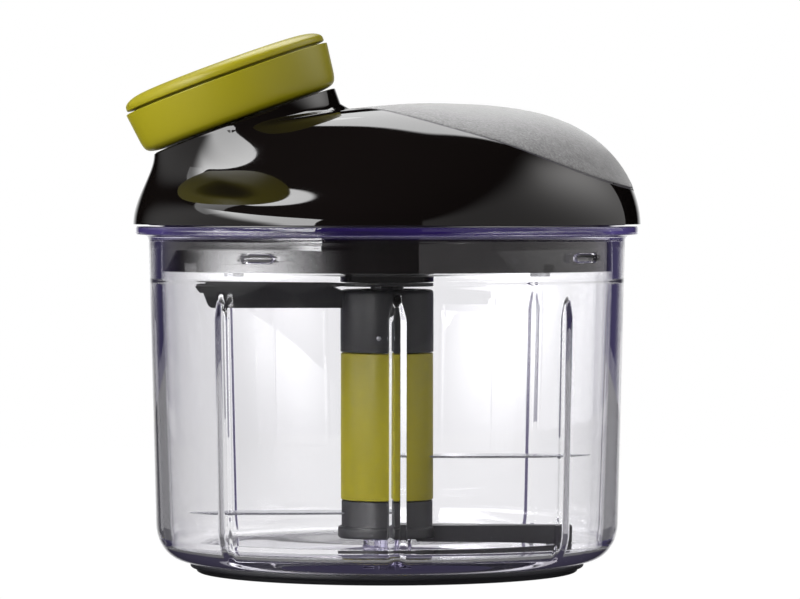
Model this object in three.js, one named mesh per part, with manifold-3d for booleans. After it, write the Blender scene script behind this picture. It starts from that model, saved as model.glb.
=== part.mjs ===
// Pull cord food chopper: a clear bowl, a blade spindle on a steel pin, a domed lid with a
// cord spool and return spring inside, and a round pull handle parked on the lid's tilted neck.
// Millimetres, +Z up. The origin is the centre of the base's underside, on the blade axis.
// +X points to the grip pad, -X to the neck and handle, -Y to the viewer of the usual side view.

import * as THREE from "three";
import { mergeVertices } from "three/addons/utils/BufferGeometryUtils.js";
import Module from "manifold-3d";

const wasm = await Module();
wasm.setup();

// Shared sizes
const degree = Math.PI / 180;
const fullTurn = 2 * Math.PI;
const seatGap = 0.3; // between two pieces that rest on each other
const runningGap = 0.15; // radial gap of a shaft in its bore
const overrun = 2; // how far a cutter passes the face it cuts

// Faces around a full turn
const sides = { large: 40, medium: 24, small: 16, tiny: 10, cord: 8, arc: 6 };

// Materials: colour, roughness, metalness
const finishes = {
  clearBowl: { color: 0xd8d6e6, roughness: 0.06, metalness: 0, opacity: 0.35, transparent: true },
  glossBlack: { color: 0x141215, roughness: 0.12, metalness: 0 },
  gripBlack: { color: 0x2a2a2c, roughness: 0.7, metalness: 0 },
  baseRubber: { color: 0x17181b, roughness: 0.8, metalness: 0 },
  sealRubber: { color: 0x2a2630, roughness: 0.6, metalness: 0 },
  hubGrey: { color: 0x38383a, roughness: 0.45, metalness: 0 },
  oliveGreen: { color: 0x8f8a22, roughness: 0.4, metalness: 0 },
  steel: { color: 0xc2c4c8, roughness: 0.22, metalness: 1 },
  acetal: { color: 0xe6e4dc, roughness: 0.4, metalness: 0 },
  cordGrey: { color: 0xc9c7bf, roughness: 0.9, metalness: 0 },
};

// Non-slip base
const base = {
  lipBottom: 1.4,
  lipTop: 3.2,
  lipInset: 1.3,
  footInset: 1.9,
  snapInset: 5.7,
  snapWidth: 3,
  snapHeight: 1.8,
};

// Bowl, drawn in from its rim
const bowl = {
  rimRadius: 76,
  rimTop: 104.5,
  rimThickness: 2.5,
  rimReach: 3.9,
  draft: 2.1,
  mouthWall: 3.7,
  mouthDepth: 15.5,
  ledgeTaper: 1.2,
  wallTop: 4,
  wallBottom: 4.2,
  cornerHeight: 11.5,
  cornerWidth: 9.1,
  floorFillet: 3.2,
  floorThickness: 4.5,
  flangeFillet: 2,
  cornerTurns: [15 * degree, 45 * degree, 72 * degree],
};
bowl.outerRadiusTop = bowl.rimRadius - bowl.rimReach;
bowl.outerRadiusBottom = bowl.outerRadiusTop - bowl.draft;
bowl.innerRadiusMouth = bowl.outerRadiusTop - bowl.mouthWall;
bowl.innerRadiusTop = bowl.outerRadiusTop - bowl.wallTop;
bowl.innerRadiusBottom = bowl.outerRadiusBottom - bowl.wallBottom;
bowl.mouthLedge = bowl.rimTop - bowl.mouthDepth;
bowl.bottom = base.lipTop + seatGap;
bowl.cornerStart = bowl.bottom + bowl.cornerHeight;
bowl.bottomRadius = bowl.outerRadiusBottom - bowl.cornerWidth;
bowl.floorTop = bowl.bottom + bowl.floorThickness;
bowl.filletTop = bowl.floorTop + bowl.floorFillet;
bowl.filletTurn = Math.asin((bowl.cornerStart - bowl.filletTop) / bowl.cornerHeight);
bowl.filletRadius = bowl.bottomRadius + bowl.cornerWidth * Math.cos(bowl.filletTurn) - bowl.wallBottom;
bowl.floorRadius = bowl.filletRadius - bowl.floorFillet;

base.lipRadius = bowl.bottomRadius - base.lipInset;
base.groundRadius = base.lipRadius - base.footInset;
base.snapOuter = base.groundRadius - base.snapInset;
base.snapInner = base.snapOuter - base.snapWidth;

// Ribs let into the bowl's outside
const rib = {
  count: 8,
  firstAngle: 2.4 * degree,
  belowLedge: 6,
  depth: 1.6,
  halfWidth: 2.1,
  floorShare: 0.5,
  scoop: 3,
  facesBetween: 4,
};
rib.top = bowl.mouthLedge - rib.belowLedge;

// Bayonet lugs on the bowl and the J slots of the lid that hold them
const bayonet = {
  count: 4,
  firstAngle: 57 * degree,
  lugHalfAngle: 4.5 * degree,
  lugHeight: 2.6,
  lugBelowRim: 9.15,
  lugReach: 1.5,
  turn: 18 * degree,
  slotGap: 0.35,
  slotDepth: 1.8,
  entryHalfAngle: 5.6 * degree,
  slotSpare: 0.7 * degree,
};
bayonet.lugMiddle = bowl.rimTop - bayonet.lugBelowRim;

// Lid outside: a round dome that runs up into a neck with a tilted flat top
const lid = {
  overhang: 0.8,
  rimGap: 0.6,
  crown: 36.3,
  crownPower: 3.8,
  crownRound: 0.55,
  sag: 4,
  sagCurve: 0.003,
  sagFrom: 16,
  wall: 2.4,
  neckRadius: 29.2,
  neckTilt: 20 * degree,
  neckInset: 33.7,
  neckRise: 31.25,
  neckLip: 5,
  steepRun: 12,
  steepShare: 0.85,
  rimShare: 0.38,
  domeUntil: 50 * degree,
  sweptFrom: 118 * degree,
  rings: 9,
};
lid.radius = bowl.rimRadius + lid.overhang;
lid.bottom = bowl.rimTop + lid.rimGap;
lid.neckX = lid.neckInset - lid.radius;
lid.neckZ = lid.bottom + lid.neckRise;

// Grip pad let into the dome, an ellipse seen from above
const pad = { rimInset: 2.4, halfLength: 44, halfWidth: 55.2, thickness: 1.3, proud: 0.15, edgeGap: 0.3 };
pad.middleX = lid.radius - pad.rimInset - pad.halfLength;

// Seal between the bowl's rim and the lid base
const seal = { mouthInset: 0.8, thickness: 1.1, edgeInset: 0.3, lipInset: 0.7, lipHeight: 0.4 };
seal.inner = bowl.innerRadiusMouth + seal.mouthInset;
seal.bottom = bowl.rimTop + seatGap;
seal.top = seal.bottom + seal.thickness;

// Lid base: the collar that plugs into the bowl, its floor and its bearing boss
const collar = {
  mouthGap: 0.4,
  ledgeGap: 1,
  wall: 3,
  floor: 2.4,
  flangeInset: 4.2,
  flangeThickness: 2,
  bossDrop: 4.3,
  bossProud: 0.1,
  bossChamfer: 1.6,
};
collar.radius = bowl.innerRadiusMouth - collar.mouthGap;
collar.bottom = bowl.mouthLedge + collar.ledgeGap;
collar.flangeRadius = lid.radius - collar.flangeInset;
collar.flangeBottom = seal.top + seatGap / 2;
collar.bossBottom = collar.bottom - collar.bossDrop;
seal.outer = collar.flangeRadius - seal.edgeInset;

// Steel pin that the spindle turns on, and its boss on the bowl's floor
const pin = { radius: 2.5, sole: 1.7, belowHub: 5.9, chamfer: 0.6, bossWall: 4.9, bossHeight: 1.9 };
pin.bottom = bowl.bottom + pin.sole;
pin.bossRadius = pin.radius + pin.bossWall;
pin.bossTop = bowl.floorTop + pin.bossHeight;

// Blade spindle
const spindle = {
  coreRadius: 8,
  coreInHub: 7.1,
  sleeveWall: 6,
  bottomHubInset: 0.2,
  bottomHubHeight: 7.7,
  flangeReach: 1.1,
  flangeThickness: 3.4,
  topHubProud: 0.1,
  topHubHeight: 18.9,
  topHubChamfer: 0.6,
  bossGap: 0.9,
};
spindle.coreBottom = pin.bossTop + seatGap;
spindle.flangeBottom = spindle.coreBottom;
spindle.flangeTop = spindle.flangeBottom + spindle.flangeThickness;
spindle.sleeveRadius = spindle.coreRadius + spindle.sleeveWall;
spindle.bottomHubRadius = spindle.sleeveRadius - spindle.bottomHubInset;
spindle.bottomHubTop = spindle.flangeTop + spindle.bottomHubHeight;
spindle.flangeRadius = spindle.bottomHubRadius + spindle.flangeReach;
spindle.topHubRadius = spindle.sleeveRadius + spindle.topHubProud;
spindle.topHubTop = collar.bossBottom - spindle.bossGap;
spindle.topHubBottom = spindle.topHubTop - spindle.topHubHeight;
spindle.coreTop = spindle.topHubBottom + spindle.coreInHub;
pin.top = spindle.topHubBottom - pin.belowHub;
collar.bossRadius = spindle.topHubRadius + collar.bossProud;

// Drive coupling between lid and spindle
const drive = {
  neckRadius: 5,
  neckGap: 0.4,
  toothTip: 8,
  tipGap: 0.6,
  teeth: 4,
  toothAngle: 20 * degree,
  toothHeight: 7.1,
  leadAngle: 1.5 * degree,
  socketSole: 2.3,
  floorGap: 0.6,
  keyRise: 0.6,
  rootDepth: 1.4,
};
drive.socketRadius = drive.toothTip + drive.tipGap;
drive.keyTip = drive.neckRadius + drive.neckGap;
drive.socketFloor = spindle.coreTop + drive.socketSole;
drive.toothBottom = drive.socketFloor + drive.floorGap;
drive.toothTop = drive.toothBottom + drive.toothHeight;
drive.keyTop = drive.toothTop + drive.keyRise;

// Scraper arm at the top of the spindle and sweeper arm at its foot
const scraper = {
  wallGap: 7.8,
  rise: 1.2,
  flangeThickness: 1.9,
  height: 6.5,
  backY: 3,
  frontY: -6,
  webFrontY: -4,
  webBackY: -1.4,
  webInset: 2,
  webSlant: 2.2,
  tipSlant: 1.5,
  rampReach: 3.4,
  rampSink: 1.6,
};
scraper.reach = bowl.innerRadiusBottom - scraper.wallGap;
scraper.webReach = scraper.reach - scraper.webInset;
scraper.webFoot = scraper.webReach - scraper.webSlant;
scraper.flangeTop = spindle.topHubTop + scraper.rise;
scraper.webBottom = scraper.flangeTop - scraper.height;
scraper.rampStart = spindle.topHubRadius + scraper.rampReach;
scraper.rampEnd = spindle.topHubRadius - scraper.rampSink;

const sweeper = { wallGap: 9.4, floorGap: 1.1, height: 4.8, rootHalfWidth: 4.6, tipHalfWidth: 2.4 };
sweeper.reach = bowl.innerRadiusBottom - sweeper.wallGap;
sweeper.bottom = bowl.floorTop + sweeper.floorGap;
sweeper.top = sweeper.bottom + sweeper.height;

// Blades
const blade = {
  thickness: 0.8,
  upperAboveHub: 13.2,
  upperWallGap: 3.4,
  lowerBelowTop: 3.9,
  lowerWallGap: 6.1,
  rootHalfWidth: 5.5,
  belly: 8.5,
  spineSweep: 3,
  edgeBendShare: 0.6,
  spineBendShare: 0.5,
  slotGap: 0.3,
};
blade.upperMiddle = spindle.bottomHubTop + blade.upperAboveHub;
blade.upperReach = bowl.innerRadiusBottom - blade.upperWallGap;
blade.lowerMiddle = spindle.bottomHubTop - blade.lowerBelowTop;
blade.lowerReach = bowl.innerRadiusBottom - blade.lowerWallGap;

const crossPin = { radius: 0.75, rise: 4.7, angle: -99.9 * degree, recess: 0.2 };
crossPin.height = spindle.topHubBottom + crossPin.rise;

// Screws that hold the lid base to the posts in the lid shell
const lidScrew = { headRadius: 3, headHeight: 1.6, headGap: 0.4, shankRadius: 1.2, length: 12 };
lidScrew.recessRadius = lidScrew.headRadius + lidScrew.headGap;
const screwPost = {
  count: 3,
  firstAngle: 90 * degree,
  collarInset: 16,
  radius: 4,
  pilotGap: 0.2,
  pilotSpare: 2,
};
screwPost.circle = collar.radius - screwPost.collarInset;
screwPost.pilotRadius = lidScrew.shankRadius + screwPost.pilotGap;
screwPost.pilotDepth = lidScrew.length + screwPost.pilotSpare;

// Spool and shaft, spring case and return spring, stacked on the lid base
const shaft = { radius: 3, topInBush: 8.6 };
const spool = {
  arborRadius: 8,
  drumRadius: 16,
  windingDepth: 4,
  flangeReach: 4,
  flangeThickness: 1.4,
  drumHeight: 12.6,
};
spool.windingRadius = spool.drumRadius + spool.windingDepth;
spool.flangeRadius = spool.windingRadius + spool.flangeReach;

const caseScrew = { headRadius: 2.6, headHeight: 1.4, shankRadius: 1.1, holeGap: 0.4, bite: 1.5 };
const springCase = {
  radius: 31,
  wall: 2,
  floor: 1.4,
  height: 11.4,
  coverThickness: 1.2,
  arborGap: 1.4,
  earReach: 3.6,
  earRadius: 4,
  earHeight: 2.6,
  earCount: 3,
  earFirstAngle: 30 * degree,
};
springCase.holeRadius = spool.arborRadius + springCase.arborGap;
springCase.earCircle = springCase.radius + springCase.earReach;
springCase.screwHole = caseScrew.shankRadius + caseScrew.holeGap;
caseScrew.length = caseScrew.headHeight + springCase.earHeight + 2 * seatGap + caseScrew.bite;
const spring = { turns: 5, stepsPerTurn: 14, thickness: 0.5, height: 8, endGap: 0.6, floorGap: 0.5 };

const topBush = { wall: 2.5, flangeReach: 2, flangeThickness: 1.3, height: 9.3, postWall: 3 };
topBush.radius = shaft.radius + topBush.wall;
topBush.flangeRadius = topBush.radius + topBush.flangeReach;
const lowerBush = { wall: 1.6, flangeReach: 2.2, flangeThickness: 1.2 };
lowerBush.radius = drive.neckRadius + lowerBush.wall;
lowerBush.flangeRadius = lowerBush.radius + lowerBush.flangeReach;

// Heights of that stack, from the lid base's floor up
const floorTop = collar.bottom + collar.floor;
const caseBottom = floorTop + seatGap;
const caseTop = caseBottom + springCase.height;
const coverBottom = caseTop + seatGap;
const coverTop = coverBottom + springCase.coverThickness;
const spoolBottom = coverTop + seatGap;
const drumBottom = spoolBottom + spool.flangeThickness;
const drumTop = drumBottom + spool.drumHeight;
const spoolTop = drumTop + spool.flangeThickness;
const bushBottom = spoolTop + seatGap;
const bushTop = bushBottom + topBush.height;
const shaftTop = bushBottom + shaft.topInBush;
const lowerBushTop = caseBottom + lowerBush.flangeThickness;
const arborBottom = caseBottom + springCase.floor + seatGap;
drive.neckTop = arborBottom - drive.neckGap;

// Cord, guide and handle
const cord = { radius: 1, steps: 15, leadRise: 2.7, bendBelowNeck: 8, bendRun: 6, knotRadius: 3.2 };
cord.runHeight = drumBottom + cord.leadRise;
const guide = {
  stemRadius: 6,
  flangeRadius: 8.4,
  flangeThickness: 1.5,
  length: 10,
  cordGap: 0.7,
  mouth: 5.2,
};
guide.throat = cord.radius + guide.cordGap;
const handle = {
  shiftDown: 0.795,
  parkGap: 0.6,
  neckReach: 3.1,
  waistInset: 1.35,
  waistHeight: 2.6,
  footInset: 3.9,
  footRoundShares: [0.7, 0.3],
  bodyHeight: 13.15,
  splitGap: 0.8,
  height: 17.85,
  capInset: 0.6,
  capStraight: 1.05,
  capCrownInset: 7.2,
  wall: 2.4,
  knotGap: 0.8,
  pocketWall: 2.4,
  pocketFloor: 3.6,
  pocketTop: 10.6,
  cordGap: 0.8,
  spigotWall: 2,
  spigotDepth: 3,
};
handle.axisX = lid.neckX - handle.shiftDown * Math.cos(lid.neckTilt);
handle.axisZ = lid.neckZ - handle.shiftDown * Math.sin(lid.neckTilt);
handle.radius = lid.neckRadius + handle.neckReach;
handle.waistRadius = handle.radius - handle.waistInset;
handle.footRadius = handle.waistRadius - handle.footInset;
handle.capRadius = handle.radius - handle.capInset;
handle.capCrownRadius = handle.capRadius - handle.capCrownInset;
handle.pocketRadius = cord.knotRadius + handle.knotGap;
handle.postRadius = handle.pocketRadius + handle.pocketWall;
handle.holeRadius = cord.radius + handle.cordGap;

// Geometry helpers

function solid(geometry) {
  const bare = geometry.clone();
  bare.deleteAttribute("normal");
  bare.deleteAttribute("uv");
  const merged = mergeVertices(bare, 1e-4);
  return new wasm.Manifold(new wasm.Mesh({
    numProp: 3,
    vertProperties: new Float32Array(merged.attributes.position.array),
    triVerts: new Uint32Array(merged.index.array),
  }));
}

function geometryOf(body) {
  const mesh = body.getMesh();
  const geometry = new THREE.BufferGeometry();
  geometry.setAttribute("position", new THREE.BufferAttribute(mesh.vertProperties, 3));
  geometry.setIndex(new THREE.BufferAttribute(mesh.triVerts, 1));
  return geometry;
}

function meshOf(name, shape, finish, place = new THREE.Matrix4()) {
  const geometry = shape.isBufferGeometry ? shape : geometryOf(shape);
  const mesh = new THREE.Mesh(geometry, new THREE.MeshStandardMaterial(finishes[finish]));
  mesh.name = name;
  mesh.applyMatrix4(place);
  return mesh;
}

// A turned piece from [radius, height] points, with the axis along Z
function turned(points, count = sides.small) {
  const profile = points.map(([radius, height]) => new THREE.Vector2(radius, height));
  return new THREE.LatheGeometry(profile, count).rotateX(Math.PI / 2);
}

function cylinder(radius, bottom, top, count = sides.small) {
  return turned([[0, bottom], [radius, bottom], [radius, top], [0, top]], count);
}

function tube(inner, outer, bottom, top, count = sides.small) {
  return turned([[inner, bottom], [outer, bottom], [outer, top], [inner, top], [inner, bottom]], count);
}

// A flat outline in X and Y, raised from bottom to top
function slab(shape, bottom, top, curveSegments = sides.cord) {
  const options = { depth: top - bottom, bevelEnabled: false, curveSegments };
  return new THREE.ExtrudeGeometry(shape, options).translate(0, 0, bottom);
}

// A piece of a ring between two angles
function ringSector(inner, outer, fromAngle, toAngle, bottom, top) {
  const shape = new THREE.Shape();
  shape.absarc(0, 0, outer, fromAngle, toAngle, false);
  shape.absarc(0, 0, inner, toAngle, fromAngle, true);
  shape.closePath();
  return slab(shape, bottom, top, sides.arc);
}

function ellipsePrism(middleX, halfLength, halfWidth, bottom, top) {
  const shape = new THREE.Shape();
  shape.absellipse(middleX, 0, halfLength, halfWidth, 0, fullTurn, false, 0);
  return slab(shape, bottom, top, sides.medium);
}

function alongCurve(curve, radius, steps, count = sides.cord) {
  const section = new THREE.Shape();
  section.absarc(0, 0, radius, 0, fullTurn, false);
  const options = { steps, bevelEnabled: false, extrudePath: curve, curveSegments: count };
  return new THREE.ExtrudeGeometry(section, options);
}

function turnedTo(geometry, angle) {
  return geometry.clone().rotateZ(angle);
}

function angles(count, first = 0) {
  return Array.from({ length: count }, (_, index) => first + (index * fullTurn) / count);
}

function mix(from, to, share) {
  return from + (to - from) * share;
}

function smooth(low, high, value) {
  return THREE.MathUtils.smoothstep(value, low, high);
}

// Closes a stack of equal rings into a solid, with a fan at each end
function stackedRings(rings) {
  const count = rings[0].length;
  const points = rings.flat();
  const middles = [rings[0], rings.at(-1)].map((ring) => {
    const middle = new THREE.Vector3();
    ring.forEach((point) => middle.addScaledVector(point, 1 / count));
    return middle;
  });
  points.push(...middles);
  const faces = [];
  for (let ring = 0; ring < rings.length - 1; ring += 1) {
    for (let side = 0; side < count; side += 1) {
      const next = (side + 1) % count;
      const lower = ring * count;
      const upper = lower + count;
      faces.push(lower + side, lower + next, upper + next);
      faces.push(lower + side, upper + next, upper + side);
    }
  }
  const last = (rings.length - 1) * count;
  for (let side = 0; side < count; side += 1) {
    const next = (side + 1) % count;
    faces.push(points.length - 2, next, side);
    faces.push(points.length - 1, last + side, last + next);
  }
  const geometry = new THREE.BufferGeometry().setFromPoints(points);
  geometry.setIndex(faces);
  return geometry;
}

// Frame of the handle: its Z runs up the tilted axis, its zero is on the neck's flat top
const neckUp = new THREE.Vector3(-Math.sin(lid.neckTilt), 0, Math.cos(lid.neckTilt));
const handleFrame = new THREE.Matrix4()
  .makeTranslation(handle.axisX, 0, handle.axisZ)
  .multiply(new THREE.Matrix4().makeRotationY(-lid.neckTilt));

// Lid surface

// Height of the dome at this place, a little lower on the neck's side than under the pad
function domeHeight(place, inset) {
  const share = Math.min(Math.hypot(place.x, place.y) / (lid.radius - inset), 1);
  const towardsNeck = Math.max(0, lid.sagFrom - place.x);
  const sag = lid.sag * (1 - Math.exp((-lid.sagCurve * towardsNeck ** 2) / lid.sag));
  return lid.bottom + (lid.crown - inset - sag) * (1 - share ** lid.crownPower) ** lid.crownRound;
}

function neckEdge(angle, inset) {
  const reach = lid.neckRadius - inset;
  const across = reach * Math.cos(angle);
  return new THREE.Vector3(
    lid.neckX + across * Math.cos(lid.neckTilt),
    reach * Math.sin(angle),
    lid.neckZ + across * Math.sin(lid.neckTilt),
  ).addScaledVector(neckUp, -inset);
}

// One point of the lid's skin: share 0 is the neck's edge and share 1 the rim
function lidPoint(angle, share, inset) {
  const top = neckEdge(angle, inset);
  const foot = new THREE.Vector3(Math.cos(angle), Math.sin(angle), 0).multiplyScalar(lid.radius - inset);
  foot.z = lid.bottom;
  const run = Math.hypot(foot.x - top.x, foot.y - top.y);
  const drop = top.z - foot.z;

  const outward = Math.sin((share * Math.PI) / 2);
  const dome = top.clone().lerp(foot, outward);
  const lipHeight = top.z - domeHeight(top, inset);
  const lipShare = Math.max(0, 1 - (outward * run) / lid.neckLip);
  dome.z = domeHeight(dome, inset) + lipHeight * lipShare ** 3;

  const steep = (lid.steepShare * drop * run) / (run + lid.steepRun);
  const swept = new THREE.CubicBezierCurve3(
    top,
    top.clone().add(new THREE.Vector3(0, 0, -steep)),
    foot.clone().add(new THREE.Vector3(0, 0, lid.rimShare * drop)),
    foot,
  ).getPoint(share);

  const turn = Math.abs(Math.atan2(Math.sin(angle), Math.cos(angle)));
  return dome.lerp(swept, smooth(lid.domeUntil, lid.sweptFrom, turn));
}

// The lid's outside drawn in by inset, closed below by a skirt
function lidBlock(inset, skirt = 0) {
  const rings = [];
  if (skirt > 0) {
    rings.push(angles(sides.large).map((angle) => {
      const foot = lidPoint(angle, 1, inset);
      return foot.setZ(foot.z - skirt);
    }));
  }
  for (let ring = lid.rings; ring >= 0; ring -= 1) {
    rings.push(angles(sides.large).map((angle) => lidPoint(angle, ring / lid.rings, inset)));
  }
  return solid(stackedRings(rings));
}

// Bowl body

function bowlOuterRadius(height) {
  const share = (height - bowl.cornerStart) / (bowl.rimTop - bowl.rimThickness - bowl.cornerStart);
  return mix(bowl.outerRadiusBottom, bowl.outerRadiusTop, share);
}

// Angles of the bowl's corners around its axis: four across each rib, evenly spaced between ribs
function bowlAngles() {
  const half = Math.asin(rib.halfWidth / bowl.outerRadiusBottom);
  const period = fullTurn / rib.count;
  const acrossShares = [-1, -rib.floorShare, rib.floorShare, 1];
  const across = acrossShares.map((share) => share * half);
  const between = Array.from({ length: rib.facesBetween - 1 }, (_, index) => (
    half + ((index + 1) * (period - 2 * half)) / rib.facesBetween
  ));
  return angles(rib.count, rib.firstAngle - Math.PI / 2).flatMap((angle) => [
    ...across.map((turn, index) => ({ angle: angle + turn, sunk: index === 1 || index === 2 })),
    ...between.map((turn) => ({ angle: angle + turn, sunk: false })),
  ]);
}

function makeBowl() {
  const flangeBottom = bowl.rimTop - bowl.rimThickness;
  const corner = bowl.cornerTurns.map((turn) => [
    bowl.bottomRadius + bowl.cornerWidth * Math.cos(turn),
    bowl.cornerStart - bowl.cornerHeight * Math.sin(turn),
  ]);
  const ribBottom = corner[1][1];
  const grooveTop = base.lipTop + base.snapHeight + seatGap;
  const ribRing = (height) => [bowlOuterRadius(height), height, rib.depth];

  // Radius, height and how deep the ribs are sunk there
  const profile = [
    [0, bowl.bottom],
    [base.snapInner - seatGap, bowl.bottom],
    [base.snapInner - seatGap, grooveTop],
    [base.snapOuter + seatGap, grooveTop],
    [base.snapOuter + seatGap, bowl.bottom],
    [bowl.bottomRadius, bowl.bottom],
    corner[2],
    [...corner[1], rib.depth],
    [...corner[0], rib.depth],
    ribRing(bowl.cornerStart),
    ribRing(mix(ribBottom, rib.top, 0.5)),
    ribRing(rib.top - rib.scoop),
    [bowlOuterRadius(rib.top), rib.top],
    [bowl.outerRadiusTop, flangeBottom - bowl.flangeFillet],
    [bowl.outerRadiusTop + bowl.flangeFillet, flangeBottom],
    [bowl.rimRadius, flangeBottom],
    [bowl.rimRadius, bowl.rimTop],
    [bowl.innerRadiusMouth, bowl.rimTop],
    [bowl.innerRadiusMouth, bowl.mouthLedge],
    [bowl.innerRadiusTop, bowl.mouthLedge - bowl.ledgeTaper],
    [bowl.innerRadiusBottom, bowl.cornerStart],
    [bowl.filletRadius, bowl.filletTop],
    [bowl.floorRadius, bowl.floorTop],
    [0, bowl.floorTop],
  ];
  const around = bowlAngles();
  const rings = profile.slice(1, -1).map(([radius, height, sink = 0]) => around.map(({ angle, sunk }) => {
    const reach = radius - (sunk ? sink : 0);
    return new THREE.Vector3(reach * Math.cos(angle), reach * Math.sin(angle), height);
  }));

  let body = solid(stackedRings(rings));
  body = body.add(solid(cylinder(pin.bossRadius, bowl.floorTop - seatGap, pin.bossTop, sides.small)));
  const pinHole = cylinder(pin.radius + runningGap, pin.bottom - seatGap, pin.bossTop + overrun, sides.tiny);
  body = body.subtract(solid(pinHole));

  const lug = ringSector(
    bowl.innerRadiusMouth - bayonet.lugReach,
    bowl.innerRadiusMouth + bayonet.lugReach,
    -bayonet.lugHalfAngle,
    bayonet.lugHalfAngle,
    bayonet.lugMiddle - bayonet.lugHeight / 2,
    bayonet.lugMiddle + bayonet.lugHeight / 2,
  );
  angles(bayonet.count, bayonet.firstAngle - Math.PI / 2).forEach((angle) => {
    body = body.add(solid(turnedTo(lug, angle)));
  });
  return body;
}

function makeBase() {
  return turned([
    [0, 0],
    [base.groundRadius, 0],
    [base.groundRadius, base.lipBottom],
    [base.lipRadius, base.lipBottom],
    [base.lipRadius, base.lipTop],
    [base.snapOuter, base.lipTop],
    [base.snapOuter, base.lipTop + base.snapHeight],
    [base.snapInner, base.lipTop + base.snapHeight],
    [base.snapInner, base.lipTop],
    [0, base.lipTop],
  ], sides.large);
}

function makePin() {
  return turned([
    [0, pin.bottom],
    [pin.radius, pin.bottom],
    [pin.radius, pin.top - pin.chamfer],
    [pin.radius - pin.chamfer, pin.top],
    [0, pin.top],
  ], sides.tiny);
}

// Spindle pieces

function spindleBore(bottom, top) {
  return solid(cylinder(spindle.coreRadius + runningGap, bottom, top));
}

function crossPinSolid(extra) {
  const half = spindle.topHubRadius - crossPin.recess + extra * overrun;
  return cylinder(crossPin.radius + extra * runningGap, -half, half, sides.tiny)
    .rotateX(Math.PI / 2)
    .rotateZ(crossPin.angle + Math.PI / 2)
    .translate(0, 0, crossPin.height);
}

function makeCore() {
  const body = tube(pin.radius + runningGap, spindle.coreRadius, spindle.coreBottom, spindle.coreTop);
  return solid(body).subtract(solid(crossPinSolid(1)));
}

// A blade seen from above, pointing along +X from inside its hub
function bladeOutline(reach, grow) {
  const root = spindle.coreRadius + runningGap + seatGap - grow;
  const half = blade.rootHalfWidth + grow;
  const shape = new THREE.Shape();
  shape.moveTo(root, -half);
  shape.lineTo(spindle.sleeveRadius, -half);
  const edgeBend = mix(spindle.sleeveRadius, reach, blade.edgeBendShare);
  const spineBend = mix(spindle.sleeveRadius, reach, blade.spineBendShare);
  shape.quadraticCurveTo(edgeBend, -blade.belly - grow, reach, blade.spineSweep);
  shape.quadraticCurveTo(spineBend, blade.belly + grow, spindle.sleeveRadius, half);
  shape.lineTo(root, half);
  shape.closePath();
  return shape;
}

function bladeSlab(reach, middle, grow = 0) {
  const half = blade.thickness / 2 + grow;
  return slab(bladeOutline(reach, grow), middle - half, middle + half, sides.tiny);
}

function makeSleeve() {
  const body = tube(
    spindle.coreRadius + runningGap,
    spindle.sleeveRadius,
    spindle.bottomHubTop + seatGap,
    spindle.topHubBottom,
    sides.medium,
  );
  return solid(body).subtract(solid(bladeSlab(blade.upperReach, blade.upperMiddle, blade.slotGap)));
}

function makeBottomHub() {
  let body = solid(turned([
    [0, spindle.flangeBottom],
    [spindle.flangeRadius, spindle.flangeBottom],
    [spindle.flangeRadius, spindle.flangeTop],
    [spindle.bottomHubRadius, spindle.flangeTop],
    [spindle.bottomHubRadius, spindle.bottomHubTop],
    [0, spindle.bottomHubTop],
  ], sides.medium));
  const arm = new THREE.Shape();
  const tipX = sweeper.reach - sweeper.tipHalfWidth;
  arm.moveTo(spindle.coreRadius, -sweeper.rootHalfWidth);
  arm.lineTo(tipX, -sweeper.tipHalfWidth);
  arm.absarc(tipX, 0, sweeper.tipHalfWidth, -Math.PI / 2, Math.PI / 2, false);
  arm.lineTo(spindle.coreRadius, sweeper.rootHalfWidth);
  arm.closePath();
  body = body.add(solid(slab(arm, sweeper.bottom, sweeper.top)));
  body = body.subtract(spindleBore(sweeper.bottom - overrun, spindle.bottomHubTop + overrun));
  const slot = turnedTo(bladeSlab(blade.lowerReach, blade.lowerMiddle, blade.slotGap), Math.PI);
  return body.subtract(solid(slot));
}

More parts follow.
